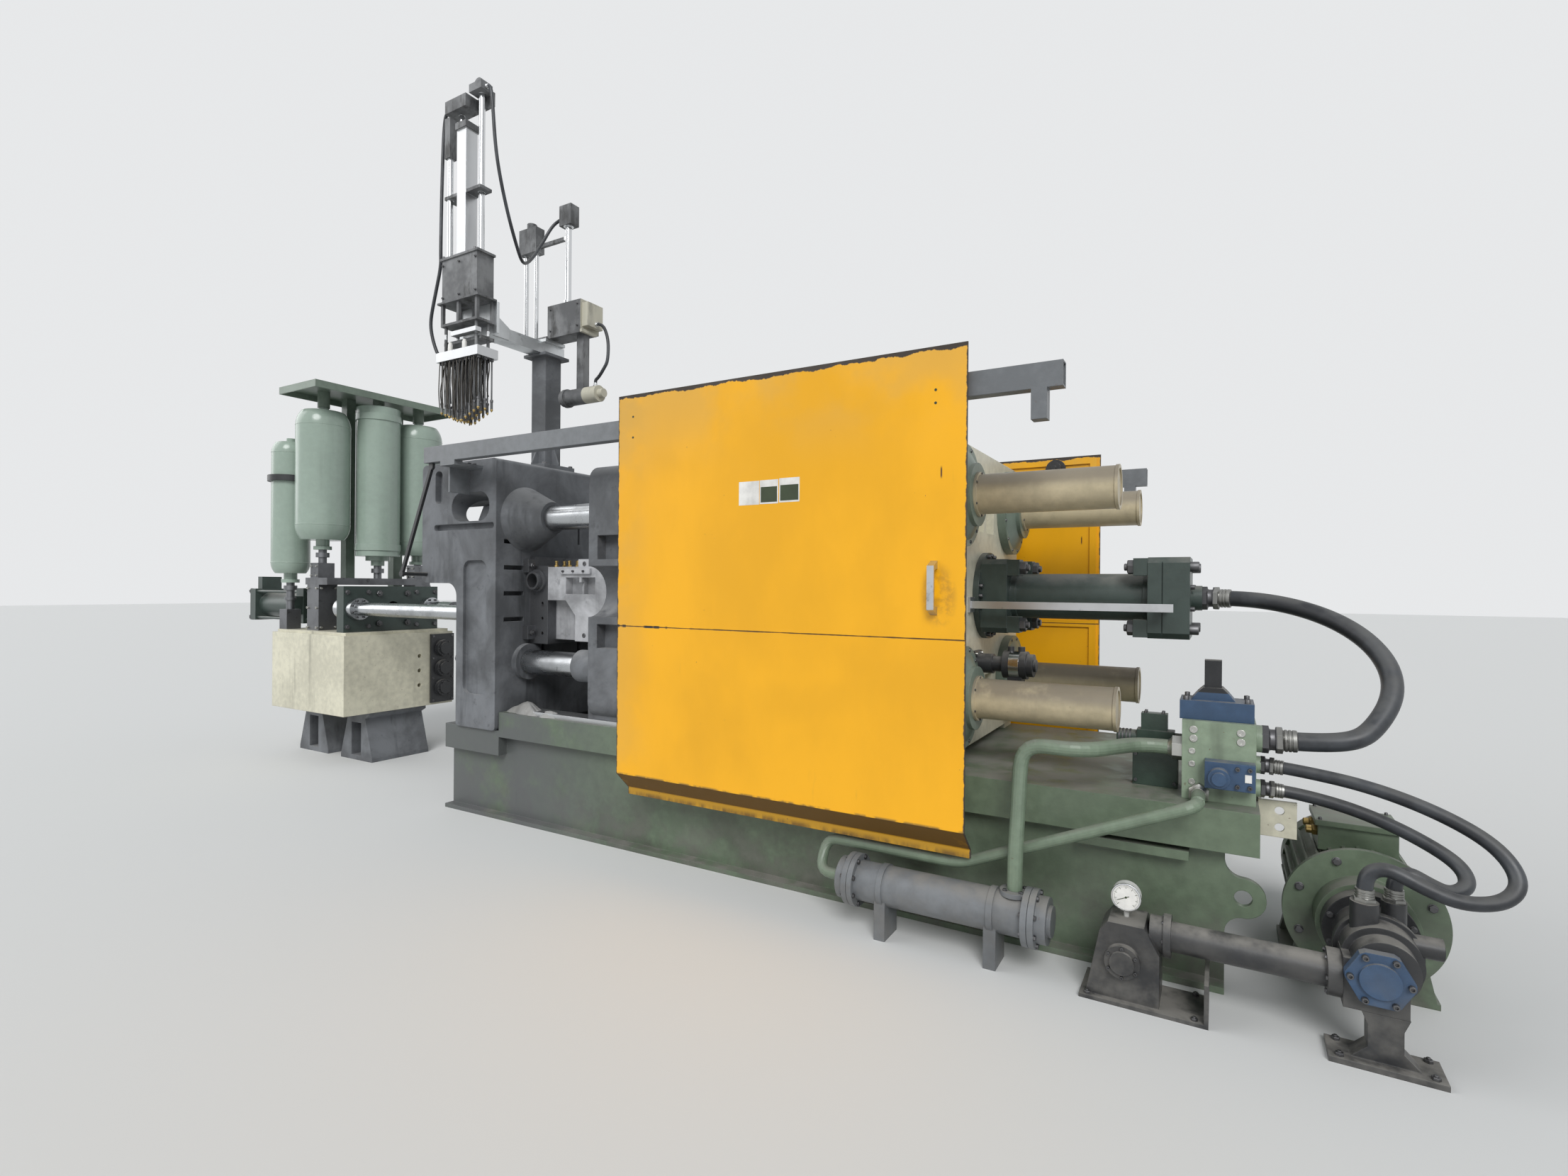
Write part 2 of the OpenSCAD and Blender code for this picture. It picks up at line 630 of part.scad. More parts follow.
// A link between two pins, as a flat bar with round ends.
module link_bar(a, b, w) {
    d = b - a;
    translate(a) rotate(atan2(d[1], d[0])) translate([0, -w / 2]) square([norm(d), w]);
    translate(a) circle(d = w + 16);
    translate(b) circle(d = w + 16);
}
module toggle_links() {
    front_pin = [moving_back + ear_out, pivot_z];
    rear_pin = [rear_x - ear_out, pivot_z];
    knee = [knee_x, knee_z];
    drive = [knee_x + 190, pivot_z + 6];
    cross_pin = [cross_x + cross_t / 2, cross_pin_z];
    color("#7b7f7c") translate([0, 0, axis_z]) for (sy = [-1, 1], m = [0, 1])
        mirror([0, 0, m]) translate([0, sy * link_y, 0]) {
            plate_xz(-link_t / 2, link_t / 2) link_bar(front_pin, knee, 130);
            for (k = [0, 1]) mirror([0, k, 0]) plate_xz(fork_in, fork_in + fork_t)
                link_bar(knee, rear_pin, 130);
            plate_xz(-fork_in + 8, fork_in - 8) link_bar(cross_pin, drive, 84);
            for (p = [front_pin, rear_pin]) translate([p[0], 0, p[1]])
                rod_y(pin_d, -fork_in - fork_t - 6, fork_in + fork_t + 6);
            translate([knee[0], 0, knee[1]]) rod_y(pin_d, -fork_in - fork_t - 12, fork_in + fork_t + 12);
            translate([drive[0], 0, drive[1]]) rod_y(60, -fork_in - fork_t - 6, fork_in + fork_t + 6);
        }
}
module stroke_scale_bar() {
    y = -head_w / 2 - 100;
    z = [axis_z - 62, axis_z - 26];
    color(steel) {
        block([rear_back, closing_end - 60], [y, y + 14], z);
        block([closing_end - 130, closing_end - 80], [y + 14, -head_w / 2], [z[0] + 6, z[1] - 6]);
        block([rear_back, rear_back + 12], [y - 20, y + 60], [z[0] - 20, z[1] + 20]);
    }
}
module die_height_motor() {
    // A flanged gear case, a neck, the motor and its two ports.
    color(black) translate([rear_back, -170, axis_z - 340]) {
        square_x(124, 0, 18);
        rod_x(98, 18, 96);
        rod_x(76, 96, 148);
        rod_x(137, 148, 262);
        rod_x(112, 262, 292);
        rod_x(60, 292, 304);
        for (s = [-1, 1]) translate([206 + s * 26, 0, 0]) rod_z(34, 60, 90);
        translate([206, 0, 0]) block([-34, 34], [-40, 40], [-92, -50]);
    }
}

// Guard doors
rail_gap = 10; // clearance between a hanger and its rail
door_face = rail_y + rail_t + 20 + rail_gap; // from the centre plane to the back of a door's sheet
seam_z = door_low + 780;
front_top = door_low + door_h;
rear_top = front_top - 175; // the rear door hangs lower than the front one
rail_drop = 165; // from a door's top down to the middle of its rail
front_rail_z = front_top - rail_drop;
rear_rail_z = rear_top - rail_drop;
roller_d = 80;
roller_w = 40;
module door_sheet(x0, top) {
    // An upright face, a lip folded inwards at 45 degrees and an upright return.
    x = [x0, x0 + door_w];
    y0 = -door_face - door_t;
    difference() {
        union() {
            block(x, [y0, y0 + door_t], [door_low, top]);
            plate_yz(x[0], x[1]) polygon([
                [y0, door_low], [y0 + door_t, door_low], [y0 + door_t + lip, door_low - lip],
                [y0 + door_t + lip, door_low - lip - lip_return], [y0 + lip, door_low - lip - lip_return],
                [y0 + lip, door_low - lip]]);
            // Angle iron behind the sheet, round the edges and across the seam.
            for (z = [door_low + 12, seam_z - 20, top - 52])
                block([x[0] + 20, x[1] - 20], [y0 + door_t, y0 + door_t + 12], [z, z + 40]);
            for (px = [x[0] + 20, x[0] + door_w / 2, x[1] - 60])
                block([px, px + 40], [y0 + door_t, y0 + door_t + 12], [door_low + 12, top - 12]);
            // Gussets in the folded lip.
            for (px = [x[0] + 60 : (door_w - 130) / 3 : x[1] - 60]) plate_yz(px, px + 8) polygon([
                [y0 + door_t, door_low + 60], [y0 + door_t, door_low], [y0 + door_t + lip, door_low - lip],
                [y0 + door_t + lip, door_low - lip + 12]]);
        }
        // The seam where the two sheets butt.
        block([x[0] - 1, x[1] + 1], [y0 - 1, y0 + 2], [seam_z - 2, seam_z + 2]);
    }
}
module door_pull(x0) {
    // A pull bent from flat bar, with two feet on the door.
    z0 = door_low + 880;
    x = x0 + door_w - 150;
    y0 = -door_face - door_t;
    block([x, x + 30], [y0 - 48, y0 - 38], [z0 + 22, z0 + handle_h - 22]);
    for (s = [0, 1]) plate_yz(x, x + 30) polygon([
        [y0, z0 + (s ? handle_h : 0)], [y0, z0 + (s ? handle_h - 34 : 34)],
        [y0 - 6, z0 + (s ? handle_h - 34 : 34)], [y0 - 38, z0 + (s ? handle_h - 40 : 40)],
        [y0 - 38, z0 + (s ? handle_h - 22 : 22)], [y0 - 48, z0 + (s ? handle_h - 22 : 22)]]);
}
module door_hanger(x0, rail_mid) {
    // Two brackets that carry a grooved roller each on the rail's top.
    roll_z = rail_mid + rail_h / 2 + roller_d / 2;
    mid = -rail_y - rail_t / 2;
    for (x = [x0 + 260, x0 + door_w - 260]) {
        plate_xz(-door_face + 12, -door_face + 20) {
            translate([x - 60, roll_z - 90]) square([120, 90]);
            translate([x, roll_z]) circle(60);
        }
        translate([x, 0, roll_z]) rod_y(30, -door_face + 20, mid + roller_w / 2 + 14);
        translate([x, 0, roll_z]) rod_y(roller_d - 0.6, mid - roller_w / 2, mid + roller_w / 2);
    }
}
module front_door() { color(yellow) door_sheet(door_open_x, front_top); }
module front_door_handle() { color(steel) door_pull(door_open_x); }
module front_door_hangers() { color(black) door_hanger(door_open_x, front_rail_z); }
module rear_door() { color(yellow) mirror([0, 1, 0]) door_sheet(rear_open_x, rear_top); }
module rear_door_handle() { color(steel) mirror([0, 1, 0]) door_pull(rear_open_x); }
module rear_door_hangers() { color(black) mirror([0, 1, 0]) door_hanger(rear_open_x, rear_rail_z); }

rail_start = -fixed_t - 50;
module rail(mid, end) {
    y = [-rail_y - rail_t, -rail_y];
    z = [mid - rail_h / 2, mid + rail_h / 2];
    seat = min(platen_top, z[0]) - 170;
    foot_x = -fixed_t * 0.7;
    difference() {
        block([rail_start, end], y, z);
        block([rail_start - 1, rail_start + 40], [y[0] + 6, y[1] - 6], [z[0] + 6, z[1] - 6]);
        block([end - 40, end + 1], [y[0] + 6, y[1] - 6], [z[0] + 6, z[1] - 6]);
    }
    // Brackets to the fixed platen's and the rear platen's side faces.
    block([foot_x, foot_x + 140], [-rail_y, -fixed_w / 2], [z[0] - 30, z[0] - 10]);
    block([foot_x, foot_x + 140], y, [z[0] - 30, z[0]]);
    block([foot_x, foot_x + 14], [-rail_y, -fixed_w / 2], [z[0] - 190, z[0] - 30]);
    block([rear_x + 110, rear_x + 240], [-rail_y, -platen_w / 2], [seat, seat + 20]);
    block([rear_x + 110, rear_x + 240], y, [seat, z[0]]);
    block([rear_x + 168, rear_x + 182], [-rail_y, -platen_w / 2], [seat - 160, seat]);
    // The stop plate that hangs from the rail's far end.
    block([end - 120, end - 60], y, [z[0] - 120, z[0]]);
}
module front_rail() { color(dusty) rail(front_rail_z, door_open_x + door_w + 360); }
module rear_rail() { color(dusty) mirror([0, 1, 0]) rail(rear_rail_z, rear_open_x + door_w + 260); }
module rail_stay() {
    top = [rail_start + 40, front_rail_z - rail_h / 2];
    foot = [-fixed_t - fixed_back + 50, upper_low + 60];
    y = -rail_y - rail_t / 2;
    color(black) {
        plate_xz(y - 9, y + 9) link_bar([top[0], top[1] - 22], foot, 24);
        block([top[0] - 20, top[0] + 20], [y - 9, y + 9], [top[1] - 30, top[1]]);
        translate([foot[0], 0, foot[1]]) rod_y(26, y, -fixed_w / 2);
    }
}

// Shot end
block_x = [-block_near - block_l, -block_near];
block_y = [-block_w / 2 + 25, block_w / 2 + 25];
module shot_frame() {
    color(cream) difference() {
        union() {
            block(block_x, block_y, [block_low, block_top]);
            block(block_x + [30, -30], block_y + [30, -30], [block_top, block_top + 24]);
        }
        for (z = [block_low + 190, block_low + 320, block_low + 450])
            translate([0, block_y[1] - 330, z]) rod_x(36, block_x[1] - 40, block_x[1] + 1);
        // A sunk service opening in the far side.
        block(block_x + [200, -200], [block_y[1] - 60, block_y[1] + 1], [block_low + 140, block_top - 140]);
    }
}
module shot_side_plate() {
    // The grey flange plate on the frame's near face, with three cylinder noses.
    color(dusty) {
        block([block_x[1], block_x[1] + 22], [block_y[1] - 230, block_y[1]],
              [block_low + 20, block_top - 20]);
        for (z = [block_low + 150, block_low + 330, block_low + 510])
            translate([0, block_y[1] - 115, z]) {
                rod_x(150, block_x[1] + 22, block_x[1] + 60);
                rod_x(110, block_x[1] + 60, block_x[1] + 74);
            }
    }
}
module shot_pedestals() {
    color(dusty) for (x = [block_x[1] - 230, block_x[0] + 230]) difference() {
        plate_xz(block_y[0] + 240, block_y[1] - 240) polygon([
            [x - 230, 0], [x + 230, 0], [x + 230, 30], [x + 130, block_low - 60],
            [x + 190, block_low - 30], [x + 190, block_low], [x - 190, block_low],
            [x - 190, block_low - 30], [x - 130, block_low - 60], [x - 230, 30]]);
        // The hollow between its two cheeks.
        block([x - 70, x + 70], [block_y[0] + 239, block_y[1] - 239], [40, block_low - 100]);
    }
}
head_plate_x = [-block_near - 190, -block_near - 90]; // the upright plate in front of the shot cylinder
plunger_d = 80;
guide_y = 330;
guide_d = 110;
module shot_guide_bars() {
    color(steel) for (s = [-1, 1]) translate([0, s * guide_y, shot_z]) {
        rod_x(guide_d, head_plate_x[0] - 70, -fixed_t);
        rod_x(guide_d + 70, head_plate_x[1] + 1, head_plate_x[1] + 70);
        rod_x(guide_d + 70, head_plate_x[0] - 80, head_plate_x[0] - 1);
        rod_x(guide_d + 90, -fixed_t - 60, -fixed_t);
    }
}
module shot_cylinder() {
    head = shot_d + 110;
    face = head_plate_x[0];
    tail = -shot_reach;
    mid = (face + tail) / 2;
    color(darkgreen) {
        // The upright head plate that the cylinder and the guide bars bolt to.
        difference() {
            block(head_plate_x, [-430, 430], [block_top + 24, shot_z + 190]);
            translate([0, 0, shot_z]) rod_x(plunger_d + 40, head_plate_x[0] - 1, head_plate_x[1] + 1);
            for (s = [-1, 1]) translate([0, s * guide_y, shot_z])
                rod_x(guide_d + 2 * fit, head_plate_x[0] - 1, head_plate_x[1] + 1);
        }
        translate([0, 0, shot_z]) {
            square_x(head, face - 110, face + 1);
            rod_x(shot_d, mid, face - 110);
            square_x(head + 20, mid - 120, mid);
            rod_x(shot_d + 40, tail + 130, mid - 120);
            square_x(head, tail + 30, tail + 130);
            rod_x(90, tail, tail + 30);
            for (sy = [-1, 1], sz = [-1, 1]) translate([0, sy * (head / 2 - 26), sz * (head / 2 - 26)]) {
                rod_x(26, mid, face - 110);
                rod_x(26, tail + 130, mid - 120);
                rod_x(40, tail + 10, tail + 30);
            }
            // The shot valve on the rear head.
            block([mid - 110, mid - 10], [-head / 2 - 90, -head / 2 - 9], [-80, 90]);
            block([tail + 40, tail + 120], [-90, 90], [head / 2 - 1, head / 2 + 120]);
        }
        // Saddles on the shot frame.
        for (x = [face - 90, block_x[0] + 40])
            block([x, x + 70], [-head / 2 + 20, head / 2 - 20], [block_top + 24, shot_z - shot_d / 2 + 14]);
    }
}
sleeve_start = -fixed_t - fixed_back - 290;
pour_x = sleeve_start + 170;
pour_d = 90;
coupling_x = sleeve_start - 500;
module shot_sleeve() {
    color(steel) translate([0, 0, shot_z]) difference() {
        union() {
            rod_x(sleeve_od, sleeve_start, 0);
            rod_x(sleeve_od + 50, sleeve_start, sleeve_start + 60);
        }
        rod_x(sleeve_id, sleeve_start - 1, 1);
        // The pouring hole.
        translate([pour_x, 0, 0]) rod_z(pour_d, 0, sleeve_od);
    }
}
module plunger_rod() {
    color(steel) translate([0, 0, shot_z]) {
        rod_x(plunger_d, head_plate_x[0] + 1, sleeve_start + 40);
        rod_x(plunger_d + 60, coupling_x, coupling_x + 150);
        rod_x(plunger_d + 30, coupling_x - 40, coupling_x);
        rod_x(sleeve_id - 2 * fit, sleeve_start + 10, sleeve_start + 90);
    }
}

// Accumulators: each is [x, y, diameter, underside, top].
bottles = [
    [-2790, -305, bottle_d, 1890, header_z - 90],
    [-2630, 95, middle_d, 1760, header_z],
    [-2650, 500, far_d, 1780, header_z - 90],
    [-3165, -380, small_d, 1600, 2800]
];
module bottle(d, z0, z1) {
    // A steel bottle turned in one piece: domed ends, a neck below and a boss on top.
    r = d / 2;
    dome = r * 0.62;
    rotate_extrude() difference() {
        union() {
            translate([0, z0 + dome]) square([r, z1 - z0 - 2 * dome]);
            intersection() {
                translate([0, z0 + dome]) circle(r);
                translate([0, z0]) square([r, dome]);
            }
            intersection() {
                translate([0, z1 - dome]) circle(r);
                translate([0, z1 - dome]) square([r, dome]);
            }
            translate([0, z0 - 60]) square([min(52, r * 0.5), 120]);
            translate([0, z0 - 84]) square([min(70, r * 0.66), 30]);
            translate([0, z1 - 30]) square([40, 70]);
        }
        translate([-2 * r, 0]) square([2 * r, header_z * 2]);
    }
}
module piston_bottle(d, z0, z1) {
    // A straight tube between two screwed end caps.
    rod_z(d, z0, z1);
    rod_z(d + 16, z0 + 50, z0 + 110);
    rod_z(d + 16, z1 - 120, z1 - 60);
    rod_z(d * 0.55, z0 - 40, z0);
    rod_z(110, z0 - 84, z0 - 39);
    rod_z(80, z1, z1 + 40);
}
module accumulators() {
    color(mint) for (i = [0 : len(bottles) - 1]) let (b = bottles[i]) translate([b[0], b[1], 0])
        if (i == 1) piston_bottle(b[2], b[3], b[4] - 40);
        else bottle(b[2], b[3], b[4] - 40);
}
header_x = [-3010, -2440];
header_y = [-560, 740];
clamp_z = 2410; // underside of the clamp between the two near bottles
module accumulator_frame() {
    color("#7c8a80") {
        difference() {
            block(header_x, header_y, [header_z, header_z + 60]);
            block(header_x + [10, -10], header_y + [10, -10], [header_z - 1, header_z + 50]);
        }
        for (b = bottles) if (b[4] >= header_z - 160)
            translate([b[0], b[1], 0]) rod_z(96, b[4], header_z + 51);
        // One post on the valve bridge and one on the shot frame.
        block(past(header_x[0], 100, 184), [-82, -2], [bridge_z + 60, header_z + 51]);
        block(past(header_x[0], 0, 90), [430, 520], [block_top + 24, header_z + 51]);
    }
}
bridge_z = block_top + 420;
module bottle_clamp() {
    // A clamp bar that ties the small bottle to the near one.
    small = bottles[3];
    near = bottles[0];
    color(black) difference() {
        union() {
            block([small[0] - small[2] / 2 - 34, near[0] - near[2] / 2 + 60],
                  around(small[1], 96), [clamp_z, clamp_z + 52]);
            translate([small[0], small[1], 0]) rod_z(small[2] + 56, clamp_z, clamp_z + 52);
        }
        for (b = [small, near]) translate([b[0], b[1], 0]) rod_z(b[2] + 2 * fit, clamp_z - 1, clamp_z + 53);
    }
}
module charging_valves() {
    // Valve blocks under the bottles, joined by a bridge across the shot cylinder.
    color("#5d6463") {
        for (b = bottles) translate([b[0], b[1], 0]) {
            rod_z(64, b == bottles[3] ? block_top + 60 : bridge_z, b[3] - 84);
            rod_z(104, b[3] - 150, b[3] - 110);
            rod_z(92, b[3] - 240, b[3] - 215);
        }
        for (b = [bottles[0], bottles[2]]) translate([b[0], b[1], 0]) {
            block([-90, 90], [-80, 80], [block_top + 24, bridge_z]);
            block([-60, 60], [-70, 70], [bridge_z, bridge_z + 190]);
        }
        translate([bottles[3][0], bottles[3][1], 0])
            block([-60, 60], [-60, 60], [block_top + 24, block_top + 200]);
        block([header_x[0] + 100, bottles[1][0] + 60], [bottles[0][1] - 80, bottles[2][1] + 80],
              [bridge_z, bridge_z + 60]);
    }
}

// Power pack
mani_x = [bed_end - 260, bed_end - 10];
mani_y = [-600, -370];
mani_z = [bed_top, bed_top + 310];
hose_port = [mani_x[1], mani_y[0] + 70, mani_z[1] - 60];
low_ports = [[mani_x[1], mani_y[0] + 70, mani_z[0] + 150], [mani_x[1], mani_y[0] + 70, mani_z[0] + 60]];
module manifold_block() {
    color("#8fa08c") {
        block(mani_x, mani_y, mani_z);
        translate([0, hose_port[1], hose_port[2]]) rod_x(hose_d + 34, mani_x[1], mani_x[1] + 20);
        for (p = low_ports) translate([0, p[1], p[2]]) rod_x(small_hose_d + 20, mani_x[1], mani_x[1] + 16);
    }
}
module control_valves() {
    mid_y = (mani_y[0] + mani_y[1]) / 2;
    top = mani_z[1];
    color("#38506e") {
        // The relief valve on top: its body, a stepped cap and the coil.
        block([mani_x[0] - 10, mani_x[1] - 6], mani_y + [30, -30], [top, top + 74]);
        translate([mani_x[0] + 105, mid_y, 0]) {
            plate_xz(-50, 50) translate([0, top]) polygon([
                [-78, 73], [78, 73], [54, 104], [34, 124], [-34, 124], [-54, 104]]);
            block([-30, 30], [-32, 32], [top + 123, top + 232]);
        }
        // The throttle on the front face, with its knob.
        block([mani_x[0] + 80, mani_x[1] - 4], [mani_y[0] - 64, mani_y[0]],
              mani_z[0] * [1, 1] + [66, 168]);
        translate([mani_x[0] + 128, 0, mani_z[0] + 112]) {
            rod_y(74, mani_y[0] - 100, mani_y[0] - 63);
            rod_y(50, mani_y[0] - 112, mani_y[0] - 99);
        }
        // The directional valve stack on the deck beside the manifold.
        block([mani_x[0] - 190, mani_x[0] - 20], mani_y + [140, 0], [bed_top, bed_top + 150]);
        block([mani_x[0] - 176, mani_x[0] - 34], mani_y + [150, -10], [bed_top + 149, bed_top + 230]);
        translate([mani_x[0] - 105, mani_y[1] - 45, bed_top + 190]) {
            rod_x(64, -150, -70);
            rod_x(64, 70, 100);
        }
        block([mani_x[0] - 160, mani_x[0] - 60], mani_y + [158, -18], [bed_top + 229, bed_top + 300]);
    }
}

// A path through corner points, with a bend of about radius r at each corner between the ends.
function bent(p, r, steps = 5) = [p[0], for (i = [1 : len(p) - 2])
    let (a = p[i] + r * unit(p[i - 1] - p[i]), b = p[i] + r * unit(p[i + 1] - p[i]))
        for (k = [0 : steps]) let (t = k / steps)
            (1 - t) * (1 - t) * a + 2 * t * (1 - t) * p[i] + t * t * b, p[len(p) - 1]];
pipe_bend = 90;
cooler_y = -bed_w / 2 - 200;
cooler_x = [bed_end - 1590, bed_end - 700];
pipe_y = -bed_w / 2 - 100;
port_h = 12;
feed_z = 345; // height of the lower pipe's level run
return_z = bed_top + pipe_d * 0.4 + 6; // height at which the lower pipe leaves the manifold
drop_x = bed_end - 833;
module oil_pipes() {
    top_z = mani_z[0] + 185;
    color("#75866f") {
        tube(bent([[mani_x[0], mani_y[0] + 60, top_z], [mani_x[0] - 160, mani_y[0] + 60, top_z],
                   [mani_x[0] - 330, pipe_y, top_z], [drop_x, pipe_y, top_z],
                   [drop_x, cooler_y, cooler_z + 220],
                   [drop_x, cooler_y, cooler_z + cooler_d / 2 + port_h]], pipe_bend), pipe_d, 16);
        tube(bent([[mani_x[0] + 60, mani_y[0], return_z], [mani_x[0] + 60, pipe_y - 20, return_z],
                   [bed_end - 1080, pipe_y - 20, feed_z], [cooler_x[0] - 120, pipe_y - 20, feed_z],
                   [cooler_x[0] - 120, cooler_y, cooler_z], [cooler_x[0], cooler_y, cooler_z]],
                  pipe_bend * 0.7), pipe_d * 0.8, 16);
    }
}
module oil_cooler() {
    color("#70767a") {
        translate([0, cooler_y, cooler_z]) {
            rod_x(cooler_d, cooler_x[0] + 70, cooler_x[1] - 70);
            for (x = [cooler_x[0] + 40, cooler_x[1] - 90]) {
                rod_x(cooler_d + 56, x, x + 24);
                rod_x(cooler_d + 56, x + 26, x + 50);
                rod_x(cooler_d + 30, x + 20, x + 30);
            }
            rod_x(cooler_d + 10, cooler_x[0], cooler_x[0] + 44);
            rod_x(cooler_d + 10, cooler_x[1] - 44, cooler_x[1]);
            rod_x(cooler_d * 0.7, cooler_x[1] - 1, cooler_x[1] + 14);
            translate([drop_x, 0, 0]) {
                rod_z(pipe_d + 24, 0, cooler_d / 2 + port_h - 14);
                rod_z(pipe_d + 56, cooler_d / 2 + port_h - 20, cooler_d / 2 + port_h);
            }
        }
        // Saddles, with an arm to the bed's side plate.
        for (x = [cooler_x[0] + 180, cooler_x[1] - 240]) {
            block([x, x + 50], [cooler_y - 70, -web_y], cooler_z * [1, 1] - [cooler_d / 2 + 40, 40]);
            block([x, x + 50], [cooler_y - 70, cooler_y + 70], [0, cooler_z - cooler_d / 2]);
            translate([x + 12, cooler_y, cooler_z]) rod_x(cooler_d + 12, 0, 26);
        }
    }
}
filter_x = bed_end - 407;
filter_y = -885;
module suction_filter() {
    color("#3c4043") {
        // The floor plate with its upright, and the tapered filter head.
        block([filter_x - 170, filter_x + 250], [filter_y - 110, filter_y + 110], [0, 14]);
        block([filter_x + 236, filter_x + 250], [filter_y - 110, filter_y + 110], [13, 150]);
        plate_xz(filter_y - 84, filter_y + 84) polygon([
            [filter_x - 150, 13], [filter_x + 96, 13], [filter_x + 96, 200], [filter_x + 46, 290],
            [filter_x - 76, 290], [filter_x - 104, 250]]);
        translate([filter_x - 24, 0, 160]) {
            rod_y(120, filter_y - 110, filter_y - 83);
            rod_y(84, filter_y - 120, filter_y - 109);
        }
        translate([0, filter_y, suction_z]) {
            rod_x(128, filter_x + 60, filter_x + 106);
            rod_x(150, filter_x + 105, filter_x + 130);
            rod_x(suction_d, filter_x + 129, motor_x - pump_r - 30);
            rod_x(150, motor_x - pump_r - 40, motor_x - pump_r);
        }
    }
}
suction_z = 250;
suction_d = 104;
pump_r = 110;
pump_port = 160;
module pressure_gauge() {
    color("#e8e8e4") {
        translate([filter_x - 20, filter_y, 0]) rod_z(18, 290, 326);
        translate([filter_x - 20, filter_y, 370]) rod_y(100, -25, 15);
    }
}
pump_y = [-960, -600];
module pump() {
    color(black) translate([motor_x, 0, motor_z]) {
        rod_y(2 * pump_r + 60, pump_y[1] - 60, pump_y[1]);
        rod_y(2 * pump_r, pump_y[0] + 80, pump_y[1] - 59);
        rod_y(2 * pump_r + 26, pump_y[0] + 160, pump_y[0] + 190);
        rod_y(2 * pump_r - 40, pump_y[0] + 10, pump_y[0] + 81);
        block([-pump_r, 60], around(filter_y, pump_port - 30), around(suction_z - motor_z, pump_port));
        translate([-40, pump_y[0] + 140, 0]) rod_z(80, 0, pump_r + 60);
        translate([50, pump_y[0] + 220, 0]) rod_z(70, 0, pump_r + 50);
        // The pressure compensator on the side.
        translate([pump_r - 10, (pump_y[0] + pump_y[1]) / 2, 40]) rod_x(70, -10, 70);
    }
}
module pump_cover() {
    // The end cover: a six-sided plate with round corners and a round cap.
    color("#38506e") translate([motor_x - 20, 0, motor_z - 20]) {
        plate_xz(pump_y[0] - 24, pump_y[0] + 10) difference() {
            circle(d = 190, $fn = 6);
            for (a = [0 : 60 : 300]) rotate(a) translate([90, -20]) square([20, 40]);
        }
        rod_y(110, pump_y[0] - 34, pump_y[0] - 23);
    }
}
module pump_stand() {
    y = filter_y - 30;
    top = suction_z - pump_port / 2;
    color("#1e2022") {
        block([motor_x - 150, motor_x + 150], [y - 70, y + 70], [0, 18]);
        plate_xz(y - 34, y + 34) polygon([
            [motor_x - 90, 17], [motor_x + 90, 17], [motor_x + 46, 60], [motor_x + 46, top - 40],
            [motor_x + 62, top], [motor_x - 62, top], [motor_x - 46, top - 40], [motor_x - 46, 60]]);
    }
}
motor_y = [-505, 190];
module electric_motor() {
    r = motor_d / 2;
    color(bedgreen) {
        translate([motor_x, 0, motor_z]) {
            rod_y(500, motor_y[0], motor_y[0] + 24);
            rod_y(2 * pump_r + 90, pump_y[1], motor_y[0]);
            rod_y(motor_d - 30, motor_y[0] + 24, motor_y[1] - 110);
            // The fan cowl, with a round edge.
            rotate([-90, 0, 0]) translate([0, 0, motor_y[1] - 110]) rotate_extrude() {
                square([r - 5, 90]);
                square([r - 25, 110]);
                translate([r - 25, 90]) circle(20);
            }
            for (a = [0 : 12 : 348]) rotate([0, a, 0])
                block([-5, 5], [motor_y[0] + 60, motor_y[1] - 130], [r - 30, r]);
            // The terminal box with its lid.
            block([-125, 125], past(motor_y[0], 150, 370), [r - 30, r + 66]);
            block([-135, 135], past(motor_y[0], 140, 380), [r + 65, r + 86]);
            translate([0, (motor_y[0] + motor_y[1]) / 2 + 60, 0]) rod_z(40, r - 30, r + 24);
        }
        for (m = [0, 1]) translate([motor_x, 0, 0]) mirror([m, 0, 0]) {
            block([96, 236], motor_y + [80, -140], [0, 22]);
            for (y = [motor_y[0] + 80, motor_y[1] - 180]) plate_xz(y, y + 40) polygon([
                [96, 21], [226, 21], [190, motor_z - r * 0.55], [110, motor_z - r * 0.6]]);
        }
    }
}

// Hoses: a tube along a smooth curve. The first and last stretch of each route is a straight
// ferrule that meets its port squarely.
port_a = [motor_x - 40, pump_y[0] + 140, motor_z + pump_r + 60];
port_b = [motor_x + 50, pump_y[0] + 220, motor_z + pump_r + 50];
big_route = [
    [closing_end + port_t, 0, axis_z], [closing_end + port_t + 20, 0, axis_z],
    [closing_end + 150, -8, axis_z + 2],
    [closing_end + 280, -50, axis_z - 4], [closing_end + 450, -120, axis_z - 40],
    [closing_end + 600, -210, axis_z - 120], [closing_end + 690, -310, axis_z - 240],
    [closing_end + 690, -410, axis_z - 370], [closing_end + 600, -480, axis_z - 470],
    hose_port + [330, -12, 18], hose_port + [180, 0, 2], hose_port + [40, 0, 0], hose_port + [20, 0, 0]];
upper_route = [
    low_ports[0] + [16, 0, 0], low_ports[0] + [36, 0, 0], low_ports[0] + [140, -15, -5],
    low_ports[0] + [330, -60, -25], low_ports[0] + [510, -110, -75], low_ports[0] + [650, -160, -150],
    low_ports[0] + [700, -210, -240], port_a + [350, 30, 60], port_a + [240, -10, 50],
    port_a + [140, -16, 85], port_a + [60, -8, 118], port_a + [8, 0, 90], port_a + [0, 0, 20], port_a];
